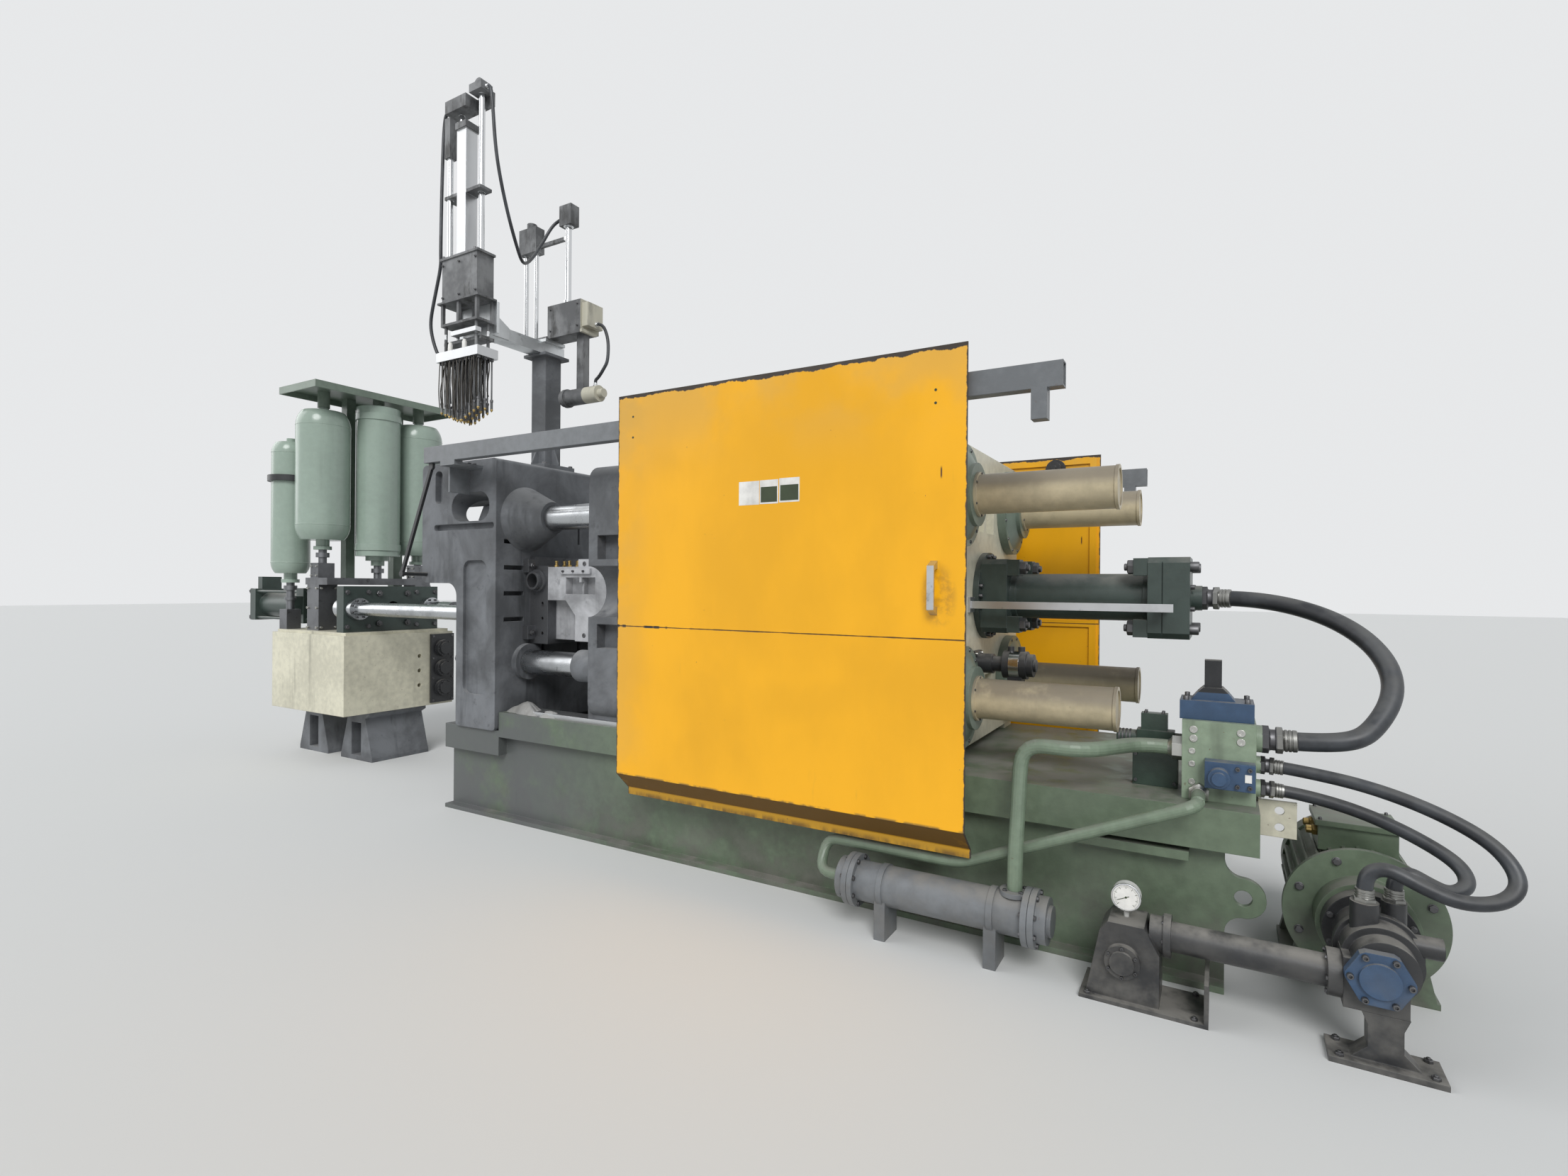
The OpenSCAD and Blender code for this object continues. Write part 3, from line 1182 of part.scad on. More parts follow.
lower_route = [
    low_ports[1] + [16, 0, 0], low_ports[1] + [36, 0, 0], low_ports[1] + [140, 10, -8],
    low_ports[1] + [300, -10, -35], low_ports[1] + [450, -50, -85], low_ports[1] + [570, -100, -150],
    low_ports[1] + [590, -150, -205], port_b + [150, 25, 50], port_b + [90, 5, 75],
    port_b + [38, 0, 100], port_b + [4, 0, 70], port_b + [0, 0, 20], port_b];
function spline(p0, p1, p2, p3, t) =
    0.5 * (2 * p1 + (p2 - p0) * t + (2 * p0 - 5 * p1 + 4 * p2 - p3) * t * t
           + (3 * p1 - p0 - 3 * p2 + p3) * t * t * t);
function smooth(p, n) = [for (i = [0 : len(p) - 2], k = [0 : n - 1])
    spline(p[max(i - 1, 0)], p[i], p[i + 1], p[min(i + 2, len(p) - 1)], k / n), p[len(p) - 1]];
function routed(p, n) = concat([p[0]], smooth([for (i = [1 : len(p) - 2]) p[i]], n), [p[len(p) - 1]]);
function unit(v) = v / norm(v);
module tube(path, d, sides = 12) {
    n = len(path);
    tangent = [for (i = [0 : n - 1]) unit(path[min(i + 1, n - 1)] - path[max(i - 1, 0)])];
    side = [for (t = tangent) unit(cross([0.13, 1, 0.07], t))];
    up = [for (i = [0 : n - 1]) cross(tangent[i], side[i])];
    points = [for (i = [0 : n - 1], a = [0 : sides - 1])
        path[i] + d / 2 * (cos(360 * a / sides) * side[i] + sin(360 * a / sides) * up[i])];
    walls = [for (i = [0 : n - 2], a = [0 : sides - 1])
        [i * sides + a, (i + 1) * sides + a, (i + 1) * sides + (a + 1) % sides, i * sides + (a + 1) % sides]];
    ends = [[for (a = [0 : sides - 1]) a], [for (a = [sides - 1 : -1 : 0]) (n - 1) * sides + a]];
    polyhedron(points = points, faces = concat(walls, ends), convexity = 6);
}
module pressure_hoses() {
    color("#2c3036") {
        tube(routed(big_route, 3), hose_d);
        for (r = [upper_route, lower_route]) tube(routed(r, 3), small_hose_d);
    }
}

// Sprayer and extractor
post_x = -180;
post_y = -155;
head_x = post_x - 20;
head_y = post_y - arm_reach;
module sprayer_post() {
    color("#5a5f62") {
        block([post_x - 140, post_x + 140], [post_y - 140, post_y + 140], [fixed_top, fixed_top + 30]);
        block([post_x - 70, post_x + 70], [post_y - 70, post_y + 70], [fixed_top + 29, arm_z - 59]);
        block([post_x - 110, post_x + 110], [post_y - 110, post_y + 110], [arm_z - 60, arm_z - 40]);
        // Gussets at the foot.
        for (a = [0 : 90 : 270]) translate([post_x, post_y, fixed_top + 29]) rotate([0, 0, a])
            plate_xz(-6, 6) polygon([[69, 0], [130, 0], [130, 14], [84, 120], [69, 120]]);
    }
}
module sprayer_arm() {
    color("#a9adae") {
        block([post_x - 60, post_x + 60], [head_y + 90, post_y + 110], [arm_z - 40, arm_z + 40]);
        block([post_x - 90, post_x + 90], [post_y - 90, post_y + 90], [arm_z + 39, arm_z + 60]);
        block([head_x - 200, head_x + 200], [head_y + 70, head_y + 90], [arm_z - 60, arm_z + 140]);
        for (s = [-1, 1]) plate_yz(post_x + s * 66 - 6, post_x + s * 66 + 6) polygon([
            [head_y + 89, arm_z - 38], [head_y + 89, arm_z + 130], [head_y + 104, arm_z + 130],
            [head_y + 260, arm_z + 38], [head_y + 260, arm_z - 38]]);
    }
}
module sprayer_tower() {
    box_z = [arm_z + 150, arm_z + 425];
    top = sprayer_top;
    color("#c3c6c8") translate([head_x, head_y, 0]) {
        // The open cage with the arm's clamp, and the closed cylinder housing over it.
        block([-178, 178], [-64, 70], [arm_z - 6, arm_z + 10]);
        for (x = [-178, -20, 158], y = [-64, 50]) block([x, x + 20], [y, y + 20], [arm_z + 9, box_z[0] - 11]);
        block([-200, 200], [-76, 70], [box_z[0] - 12, box_z[0]]);
        block([-172, 172], [-60, 66], [box_z[0] - 1, box_z[1]]);
        block([-186, 186], [-68, 70], [box_z[1] - 1, box_z[1] + 14]);
        // Two guide rods, the square cylinder, the return rod and their top plates.
        translate([-150, -20, 0]) rod_z(38, box_z[1] + 13, top - 440);
        translate([-150, -20, 0]) block([-26, 26], [-26, 26], [top - 441, top - 180]);
        translate([-92, 20, 0]) rod_z(34, box_z[1] + 13, top - 110);
        block([-48, 38], [-46, 40], [box_z[1] + 13, top - 290]);
        block([-58, 48], [-56, 50], [top - 291, top - 250]);
        translate([120, 10, 0]) rod_z(40, box_z[1] + 13, top - 80);
        block([-176, 30], [-46, 52], [top - 150, top - 70]);
        block([60, 176], [-44, 44], [top - 81, top - 30]);
        translate([130, 0, top - 40]) rod_y(80, -30, 30);
        block([-180, 176], [52, 64], [top - 150, top - 60]);
        block([-176, 176], [-44, 44], [arm_z + 830, arm_z + 850]);
    }
}
module spray_head() {
    color("#8c9092") translate([head_x, head_y, 0]) {
        // Four studs carry an upper feed bar and the lower nozzle bar.
        for (x = [-150, 150], y = [-44, 44]) translate([x, y, 0]) rod_z(20, arm_z - 200, arm_z - 6);
        block([-60, 184], [-76, -34], [arm_z - 84, arm_z - 56]);
        block([-184, 184], [-34, 64], [arm_z - 120, arm_z - 100]);
        block([-204, 204], [-78, 78], [arm_z - 236, arm_z - 176]);
        for (x = [-180 : 40 : 180], y = [-50, 0, 50]) translate([x, y, 0]) {
            rod_z(10, nozzle_low + 40 + abs(x) * 0.4, arm_z - 235);
            rod_z(16, nozzle_low + abs(x) * 0.4, nozzle_low + 50 + abs(x) * 0.4);
        }
    }
}
module extractor() {
    base = arm_z + 60;
    box_z = [base + 20, base + 230];
    top = arm_z + 790;
    color("#b4b8b6") translate([post_x, post_y, 0]) {
        block([-250, 420], [-70, 70], [base, base + 21]);
        // Two guide rods and the lift cylinder, tied together at the top.
        for (x = [-215, -110]) translate([x, 0, 0]) rod_z(34, base + 20, top - 60);
        block([-250, -75], [-40, 40], [top - 61, top + 120]);
        translate([-160, 0, 0]) rod_z(70, top + 119, top + 160);
        translate([212, 0, 0]) {
            rod_z(64, box_z[1] - 1, box_z[1] + 36);
            rod_z(44, box_z[1] + 35, top + 60);
            block([-52, 60], [-40, 40], [top + 59, top + 200]);
        }
        block([-76, 200], [-12, 12], [top - 30, top - 6]);
        // The drive's housing and its end cover.
        block([80, 400], [-66, 110], box_z);
        block([399, 452], [-50, 94], box_z + [24, -24]);
        // The gripper cylinder hung below the base plate.
        block([330, 390], [-30, 30], [arm_z - 330, base + 1]);
        translate([0, 0, arm_z - 362]) {
            rod_x(112, 180, 520);
            rod_x(60, 519, 560);
            rod_x(128, 200, 226);
        }
    }
}
tower_port = [head_x - 176, head_y - 10, sprayer_top - 110];
bar_port = [head_x - 204, head_y, arm_z - 206];
cap_port = [head_x + 176, head_y, sprayer_top - 55];
lift_port = [post_x + 160, post_y, arm_z + 920];
drive_port = [post_x + 452, post_y + 30, arm_z + 130];
grip_port = [post_x + 480, post_y, arm_z - 306];
spray_routes = [
    [tower_port, tower_port + [-20, 0, 0], tower_port + [-58, 0, -80], tower_port + [-66, -8, -500],
     tower_port + [-62, -16, -900], bar_port + [-44, -20, 620], bar_port + [-90, -30, 420],
     bar_port + [-130, -30, 250], bar_port + [-96, -14, 90], bar_port + [-50, 0, 14],
     bar_port + [-20, 0, 0], bar_port],
    [cap_port, cap_port + [20, 0, 0], cap_port + [48, 2, -70], cap_port + [56, 30, -420],
     cap_port + [54, 110, -720], cap_port + [26, 220, -930], cap_port + [-36, 330, -990],
     lift_port + [-92, -200, -340], lift_port + [-110, -100, -200], lift_port + [-80, -30, -50],
     lift_port + [-20, 0, 0], lift_port],
    [drive_port, drive_port + [20, 0, 0], drive_port + [80, -6, -34], drive_port + [128, -16, -140],
     drive_port + [136, -28, -270], grip_port + [84, -6, 110], grip_port + [34, -2, 60],
     grip_port + [4, 0, 42], grip_port + [0, 0, 20], grip_port]];
spray_hose_d = 22;
module sprayer_hoses() {
    color("#2c3036") for (r = spray_routes) tube(routed(r, 3), spray_hose_d, 8);
}

bed_front_side();
bed_rear_side();
bed_deck();
end_bracket();
slideways();
fixed_platen();
moving_platen();
rear_platen();
tie_bars();
tie_bar_nuts();
adjuster_flanges();
tie_bar_covers();
fixed_die();
moving_die();
closing_cylinder();
crosshead();
toggle_links();
stroke_scale_bar();
die_height_motor();
front_door();
front_door_handle();
front_door_hangers();
rear_door();
rear_door_handle();
rear_door_hangers();
front_rail();
rear_rail();
rail_stay();
shot_frame();
shot_side_plate();
shot_pedestals();
shot_cylinder();
shot_guide_bars();
shot_sleeve();
plunger_rod();
accumulators();
bottle_clamp();
accumulator_frame();
charging_valves();
manifold_block();
control_valves();
oil_pipes();
oil_cooler();
suction_filter();
pressure_gauge();
pump();
pump_cover();
pump_stand();
electric_motor();
pressure_hoses();
sprayer_post();
sprayer_arm();
sprayer_tower();
spray_head();
extractor();
sprayer_hoses();
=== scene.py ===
"""Finishes, fittings and wear of a cold chamber die casting machine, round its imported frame. Metres."""
import json
import math

import bpy
import numpy as np
from mathutils import Matrix, Vector


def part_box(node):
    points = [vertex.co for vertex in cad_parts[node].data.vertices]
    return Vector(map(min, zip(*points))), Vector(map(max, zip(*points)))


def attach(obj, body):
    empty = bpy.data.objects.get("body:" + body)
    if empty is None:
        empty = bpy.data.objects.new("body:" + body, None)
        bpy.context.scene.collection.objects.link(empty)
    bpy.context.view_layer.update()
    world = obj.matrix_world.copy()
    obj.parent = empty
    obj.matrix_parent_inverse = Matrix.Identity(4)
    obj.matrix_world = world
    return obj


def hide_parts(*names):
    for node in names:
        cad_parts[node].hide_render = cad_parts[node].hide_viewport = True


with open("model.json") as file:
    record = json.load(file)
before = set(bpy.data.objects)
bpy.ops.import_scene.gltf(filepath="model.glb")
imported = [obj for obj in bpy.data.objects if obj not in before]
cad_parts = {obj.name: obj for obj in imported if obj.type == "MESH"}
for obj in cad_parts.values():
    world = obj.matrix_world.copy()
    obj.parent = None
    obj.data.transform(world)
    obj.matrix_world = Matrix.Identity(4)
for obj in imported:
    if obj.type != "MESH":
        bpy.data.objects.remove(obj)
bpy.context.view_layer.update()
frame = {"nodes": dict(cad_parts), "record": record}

# Camera

PHOTO_WIDTH = 2212
FOCAL_PIXELS = 1058.7
SENSOR = 36.0
EYE = Vector((4.030, -3.959, 1.511))
YAW, PITCH, ROLL = (math.radians(a) for a in (-30.227, -0.071, 0.453))


def place_camera():
    """A camera at EYE that looks along YAW and PITCH and is turned by ROLL about its own view."""
    ahead = Vector((math.sin(YAW) * math.cos(PITCH), math.cos(YAW) * math.cos(PITCH), math.sin(PITCH)))
    level = Vector((math.cos(YAW), -math.sin(YAW), 0))
    up = level.cross(ahead)
    right = level * math.cos(ROLL) + up * math.sin(ROLL)
    up = up * math.cos(ROLL) - level * math.sin(ROLL)
    camera = bpy.data.objects.new("camera", bpy.data.cameras.new("camera"))
    camera.data.sensor_width = SENSOR
    camera.data.lens = FOCAL_PIXELS / PHOTO_WIDTH * SENSOR
    camera.data.clip_end = 200
    turn = Matrix((right, up, -ahead)).transposed()
    camera.matrix_world = Matrix.Translation(EYE) @ turn.to_4x4()
    bpy.context.scene.collection.objects.link(camera)
    bpy.context.scene.camera = camera


# Shader maths


class Wire:
    """An output of a material's node. Arithmetic on it adds Math nodes to that material."""

    def __init__(self, finish, socket):
        self.finish, self.socket = finish, socket

    def maths(self, operation, *values):
        return self.finish.node("ShaderNodeMath", {"operation": operation}, dict(enumerate(values)))

    def __add__(self, other):
        return self.maths("ADD", self, other)

    def __mul__(self, other):
        return self.maths("MULTIPLY", self, other)

    def __sub__(self, other):
        return self.maths("SUBTRACT", self, other)

    def __rsub__(self, other):
        return self.maths("SUBTRACT", other, self)

    __radd__, __rmul__ = __add__, __mul__

    def __abs__(self):
        return self.maths("ABSOLUTE", self)

    def most(self, other):
        return self.maths("MAXIMUM", self, other)

    def rise(self, low, high):
        """0 below low, 1 above high and a smooth step between; a low above high turns it round."""
        settings = {"interpolation_type": "SMOOTHSTEP"}
        if low < high:
            return self.finish.node("ShaderNodeMapRange", settings, {0: self, 1: low, 2: high})
        return self.finish.node("ShaderNodeMapRange", settings, {0: self, 1: high, 2: low, 3: 1.0, 4: 0.0})


class Finish:
    """A material with one Principled shader, built on the piece's own Object coordinates."""

    def __init__(self, name, **fixed):
        self.material = bpy.data.materials.new(name)
        self.material.use_nodes = True
        self.tree = self.material.node_tree
        self.shader = self.tree.nodes["Principled BSDF"]
        self.place = self.node("ShaderNodeTexCoord", output="Object")
        self.facing = self.node("ShaderNodeNewGeometry", output="Normal")
        for socket, value in fixed.items():
            self.shader.inputs[socket.replace("_", " ")].default_value = value

    def join(self, socket, value):
        if isinstance(value, Wire):
            self.tree.links.new(value.socket, socket)
        elif isinstance(value, (tuple, list)) and len(value) == 3 and socket.type == "RGBA":
            socket.default_value = (*value, 1)
        else:
            socket.default_value = value

    def node(self, kind, settings=None, inputs=None, output=0):
        made = self.tree.nodes.new(kind)
        for key, value in (settings or {}).items():
            setattr(made, key, value)
        for key, value in (inputs or {}).items():
            self.join(made.inputs[key], value)
        return Wire(self, made.outputs[output])

    def stretched(self, scale, shift=(0, 0, 0)):
        return self.node("ShaderNodeMapping", None, {"Vector": self.place, "Scale": scale, "Location": shift})

    def noise(self, scale, detail=3.0, rough=0.55, along=None, shift=(0, 0, 0), warp=0.0):
        """Cloud noise from 0 to 1 about 0.5. along stretches it, as 1 per axis."""
        where = self.stretched(along or (1, 1, 1), shift)
        inputs = {"Vector": where, "Scale": scale, "Detail": detail, "Roughness": rough, "Distortion": warp}
        return self.node("ShaderNodeTexNoise", None, inputs)

    def axis(self, name, of=None):
        return self.node("ShaderNodeSeparateXYZ", None, {0: of or self.place}, "XYZ".index(name))

    def mix(self, under, over, share):
        """over laid on under where share is 1. Both are colours or wires of colours."""
        made = self.tree.nodes.new("ShaderNodeMix")
        made.data_type = "RGBA"
        self.join(made.inputs[0], share)
        self.join(made.inputs[6], under)
        self.join(made.inputs[7], over)
        return Wire(self, made.outputs[2])

    def bump(self, height, depth, strength=1.0, under=None):
        inputs = {"Height": height, "Distance": depth, "Strength": strength}
        if under:
            inputs["Normal"] = under
        return self.node("ShaderNodeBump", None, inputs)

    def rounded(self, radius):
        """The normal of edges rounded to radius."""
        return self.node("ShaderNodeBevel", {"samples": 4}, {"Radius": radius})

    def give(self, **sockets):
        for name, value in sockets.items():
            self.join(self.shader.inputs[name.replace("_", " ")], value)
        return self.material


def shade(colour, by):
    return tuple(min(1.0, c * by) for c in colour)


GRIME = (0.030, 0.027, 0.022)
DUST = (0.235, 0.225, 0.205)
RUST = (0.10, 0.042, 0.018)
ASH = (0.095, 0.098, 0.104)
CHALK = (0.26, 0.265, 0.27)


def enamel(
    name, colour, dust=0.5, grime=0.5, chips=0.5, gloss=0.38, seed=0, edge=0.004, fallout=None, soot=None,
    zones=(), variety=1.0,
):
    """Brushed machine enamel: mottled, chipped to rust, streaked with grime, dusty on top and near the floor.

    Where X is below fallout, grey die lubricant dust covers the colour in clouds. soot is the colour of a
    darker film on all that faces up. zones are (axis, low, high, colour), each a stretch of another colour.
    variety scales the mottling."""
    f = Finish(name)
    shift = (seed, seed * 1.7, seed * 0.6)
    z, level = f.axis("Z"), f.axis("Z", f.facing)
    patches = f.noise(0.9, 2, shift=shift).rise(0.42, 0.62)
    clouds = f.noise(1.7, 4, 0.6, shift=shift)
    mottle = f.noise(21, 3, 0.6, shift=shift)
    cloudy = (clouds * 0.6 + mottle * 0.4).rise(0.36, 0.64)
    tone = f.mix(shade(colour, 1 - 0.16 * variety), shade(colour, 1 + 0.12 * variety), cloudy)
    for axis, start, end, other in zones:
        along = f.axis(axis)
        inside = along.rise(start - 0.0005, start + 0.0005) * along.rise(end + 0.0005, end - 0.0005)
        tone = f.mix(tone, f.mix(shade(other, 0.8), shade(other, 1.25), cloudy), inside)
    streaks = f.noise(5.5, 4, 0.62, (1, 1, 0.09), shift).rise(0.56, 0.78) * patches
    dirt = streaks * abs(level).rise(0.8, 0.3) * grime
    low = z.rise(0.55, 0.02) * f.noise(3.5, 4, 0.65, shift=shift).rise(0.40, 0.62) * grime
    tone = f.mix(tone, GRIME, dirt.most(low) * 0.7)
    speck = f.noise(58, 2, 0.5, shift=shift).rise(0.735, 0.755) * patches * chips
    tone = f.mix(tone, RUST, speck)
    haze = f.noise(7, 4, 0.6, shift=shift)
    settled = level.rise(0.35, 0.9) * haze.rise(0.30, 0.62) * dust
    splashed = z.rise(0.42, 0.0) * haze.rise(0.36, 0.66) * (dust * 0.45)
    tone = f.mix(tone, DUST, settled.most(splashed))
    if soot is not None:
        tone = f.mix(tone, soot, level.rise(-0.1, 0.5) * haze.rise(0.12, 0.46) * 0.85)
    if fallout is not None:
        drifts = f.noise(2.7, 5, 0.65, shift=shift).rise(0.28, 0.52)
        tone = f.mix(tone, ASH, f.axis("X").rise(fallout + 1.0, fallout - 0.3) * drifts * 0.85)
    rough = mottle * 0.16 + (gloss - 0.08) + settled * 0.45 + dirt * 0.15
    peel = f.bump(f.noise(120, 2, 0.5, shift=shift) - speck * 1.5, 0.0006, 0.5, f.rounded(edge))
    return f.give(Base_Color=tone, Roughness=rough, Normal=peel)


def dusty_casting(name, colour, dust=0.8, seed=0, dark=(0.022, 0.024, 0.027)):
    """A rough casting under dried die lubricant: pale clouds, dark runs and a coarse skin."""
    f = Finish(name)
    shift = (seed, seed * 1.3, seed * 0.7)
    clouds = f.noise(2.6, 5, 0.62, shift=shift, warp=0.4)
    runs = f.noise(4.5, 4, 0.65, (1, 1, 0.14), shift)
    tone = f.mix(shade(colour, 0.62), shade(colour, 1.35), clouds.rise(0.34, 0.68))
    tone = f.mix(tone, dark, runs.rise(0.55, 0.74) * 0.75)
    blotch = f.noise(13, 4, 0.7, shift=shift).rise(0.60, 0.72)
    tone = f.mix(tone, shade(colour, 0.4), blotch * 0.5)
    settled = f.axis("Z", f.facing).rise(0.2, 0.85) * f.noise(6, 4, 0.6, shift=shift).rise(0.28, 0.56) * dust
    tone = f.mix(tone, CHALK, settled)
    skin = f.noise(46, 5, 0.7, shift=shift)
    rough = clouds * 0.25 + 0.52 + settled * 0.2
    return f.give(Base_Color=tone, Roughness=rough, Normal=f.bump(skin, 0.0016, 0.6, f.rounded(0.007)))


def bare_metal(name, colour, rough=0.3, scratch=(1, 1, 1), film=0.3, seed=0, edge=0.002):
    """Ground or drawn metal with fine scratches, a film of oil and dull blooms."""
    f = Finish(name, Metallic=1.0)
    shift = (seed, seed, seed)
    lines = f.noise(160, 3, 0.6, scratch, shift)
    bloom = f.noise(4, 4, 0.6, shift=shift).rise(0.42, 0.70)
    tone = f.mix(colour, shade(colour, 0.55), bloom * film)
    tone = f.mix(tone, GRIME, f.noise(11, 4, 0.7, shift=shift).rise(0.60, 0.74) * film)
    coarse = lines * 0.16 + bloom * 0.22 * film + (rough - 0.06)
    return f.give(Base_Color=tone, Roughness=coarse, Normal=f.bump(lines, 0.0002, 0.4, f.rounded(edge)))


def door_enamel(name, door):
    """Yellow-orange enamel on sheet: faded above, torn at the top edge, dark in its seam and along its bottom
    edge, with painted shade over the folded lower band.
    """
    low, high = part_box(door)
    f = Finish(name)
    colour = (0.83, 0.405, 0.006)
    x, z = f.axis("X"), f.axis("Z")
    fold = low.z + 0.130
    clouds = f.noise(1.1, 3, 0.5, warp=0.6)
    film = f.noise(3.0, 5, 0.6, (1, 1, 0.5))
    tone = f.mix(shade(colour, 0.92), shade(colour, 1.05), (clouds * 0.6 + film * 0.4).rise(0.36, 0.62))
    faded = z.rise(high.z - 0.5, high.z) + x.rise(low.x + 0.3, low.x) * 0.7
    faded = faded * f.noise(2.4, 4, 0.6).rise(0.34, 0.6)
    tone = f.mix(tone, (0.60, 0.345, 0.065), faded * 0.55)
    rubs = f.noise(7, 5, 0.7, (1, 1, 0.2)).rise(0.62, 0.78) * f.noise(1.1, 2, 0.5).rise(0.48, 0.6)
    tone = f.mix(tone, (0.42, 0.235, 0.03), rubs * 0.4)
    aside, above = (x - (high.x - 0.115)) * 13.0, (z - (fold + 0.955)) * 7.5
    hands = (aside * aside + above * above).rise(1.3, 0.2) * f.noise(17, 4, 0.65).rise(0.38, 0.60)
    tone = f.mix(tone, (0.40, 0.19, 0.02), hands * 0.6)
    run = abs(x - (high.x - 0.107)).rise(0.005, 0.002) * abs(z - (high.z - 0.522)).rise(0.030, 0.012)
    tone = f.mix(tone, (0.12, 0.045, 0.012), run)
    crease = abs(z - fold).rise(0.012, 0.002) * f.noise(14, 4).rise(0.42, 0.56)
    tone = f.mix(tone, (0.30, 0.16, 0.025), crease)
    # Painted shade: the folded lower band faces down, so its colour is darkened to dark brown to stand for
    # the shade on it.
    under = z.rise(fold + 0.003, fold - 0.003) * z.rise(low.z + 0.036, low.z + 0.042)
    tone = f.mix(tone, (0.092, 0.046, 0.004), under * f.noise(5, 4, 0.7, (1, 1, 0.5)).rise(0.18, 0.40) * 0.95)
    tone = f.mix(tone, (0.43, 0.235, 0.012), z.rise(low.z + 0.042, low.z + 0.036) * 0.85)
    lip = z.rise(low.z + 0.030, low.z + 0.004) * f.noise(8, 4, 0.7, (1, 1, 0.3)).rise(0.38, 0.58)
    tone = f.mix(tone, (0.12, 0.062, 0.012), lip * 0.85)
    ragged = (f.noise(6, 5, 0.7, (1, 1, 0)) - 0.5) * 0.07
    torn = (z + ragged).rise(high.z - 0.021, high.z - 0.016)
    sides = x + (f.noise(9, 4, 0.7, (0, 0, 1)) - 0.5) * 0.03
    worn = torn.most(sides.rise(low.x + 0.007, low.x + 0.002))
    worn = worn.most(sides.rise(high.x - 0.007, high.x - 0.002))
    tone = f.mix(tone, (0.045, 0.035, 0.028), worn)
    nicks = f.noise(70, 2, 0.5).rise(0.745, 0.76) * f.noise(2.0, 2).rise(0.50, 0.62)
    tone = f.mix(tone, (0.06, 0.04, 0.03), nicks)
    seam = abs(z - (fold + 0.780)) + (f.noise(5, 4, 0.7, (1, 0, 0)) - 0.5) * 0.010
    gap = seam.rise(0.0036, 0.0018)
    tone = f.mix(tone, (0.17, 0.088, 0.015), gap)
    dash = seam.rise(0.0075, 0.005) * x.rise(low.x + 0.75, low.x + 0.25)
    dash = dash * f.noise(9, 2, 0.5, (1, 0, 0)).rise(0.50, 0.54)
    tone = f.mix(tone, (0.035, 0.026, 0.016), dash)
    rough = f.noise(9, 3) * 0.2 + 0.25 + worn * 0.3 + faded * 0.2 + under * 0.45
    height = f.noise(60, 2) * 0.35 - worn - nicks - gap
    return f.give(Base_Color=tone, Roughness=rough, Normal=f.bump(height, 0.0008, 0.7, f.rounded(0.002)))


def mechanism(name, rods, bars=(), bands=(), cream=None):
    """Greasy grey plates and housings of a handling unit, with hard chrome rods and bright sections.

    rods are (x, y, radius, low, top) and bars (x, y, half width, low, top), chrome or bright between the two
    heights. bands are heights between which all is bright. Past X of cream the housing is cream enamel."""
    f = Finish(name)
    x, y, z = (f.axis(a) for a in "XYZ")
    shift = (31, 7, 3)
    clouds = f.noise(5, 4, 0.6, shift=shift)
    grease = f.noise(9, 5, 0.7, (1, 1, 0.3), shift).rise(0.48, 0.66)
    tone = f.mix((0.105, 0.108, 0.112), (0.22, 0.225, 0.23), clouds.rise(0.36, 0.62))
    tone = f.mix(tone, (0.030, 0.029, 0.027), grease * 0.8)
    dusty = f.axis("Z", f.facing).rise(0.3, 0.9) * f.noise(12, 4, shift=shift).rise(0.34, 0.60)
    tone = f.mix(tone, (0.25, 0.25, 0.245), dusty * 0.7)
    bright = x * 0.0
    for cx, cy, r, low, top in rods:
        dx, dy = x - cx, y - cy
        inside = (dx * dx + dy * dy).rise(r * r * 1.3, r * r * 1.15)
        bright = bright.most(inside * z.rise(top + 0.001, top - 0.001) * z.rise(low - 0.001, low + 0.001))
    plain = x * 0.0
    for cx, cy, half, low, top in bars:
        wide = abs(x - cx).most(abs(y - cy)).rise(half + 0.002, half + 0.001)
        plain = plain.most(wide * z.rise(top + 0.001, top - 0.001) * z.rise(low - 0.001, low + 0.001))
    for low, high in bands:
        plain = plain.most(z.rise(low - 0.001, low + 0.001) * z.rise(high + 0.001, high - 0.001))
    lines = f.noise(170, 3, 0.6, (1, 1, 0.06), shift)
    tone = f.mix(tone, (0.66, 0.67, 0.68), bright)
    tone = f.mix(tone, (0.60, 0.61, 0.62), plain * 0.9)
    metal = bright.most(plain).most(x * 0.0 + 0.35)
    rough = (0.46 + clouds * 0.2 + dusty * 0.2) - bright * 0.40 - plain * 0.22 + lines * 0.08
    if cream is not None:
        painted = x.rise(cream - 0.001, cream + 0.001)
        tone = f.mix(tone, (0.52, 0.50, 0.41), painted * (1.0 - grease * 0.35))
        metal = metal * (1.0 - painted)
    fine = f.bump(lines, 0.0002, 0.4, f.rounded(0.002))
    return f.give(Base_Color=tone, Metallic=metal, Roughness=rough, Normal=fine)


def hose_rubber(name):
    """Black wrapped hose, dusty on top."""
    f = Finish(name)
    wrap = f.noise(220, 3, 0.6)
    settled = f.axis("Z", f.facing).rise(0.1, 0.9) * f.noise(9, 3).rise(0.32, 0.6)
    tone = f.mix((0.018, 0.020, 0.024), (0.042, 0.047, 0.054), f.noise(6, 4, 0.6).rise(0.4, 0.65))
    tone = f.mix(tone, (0.13, 0.13, 0.125), settled * 0.55)
    return f.give(Base_Color=tone, Roughness=settled * 0.3 + 0.38, Normal=f.bump(wrap, 0.0006, 0.5))


VALVE_BLUE = (0.036, 0.074, 0.142)
COIL_BLACK = (0.016, 0.017, 0.019)
VALVE_GREEN = (0.030, 0.050, 0.038)
SOOT = (0.20, 0.172, 0.130)


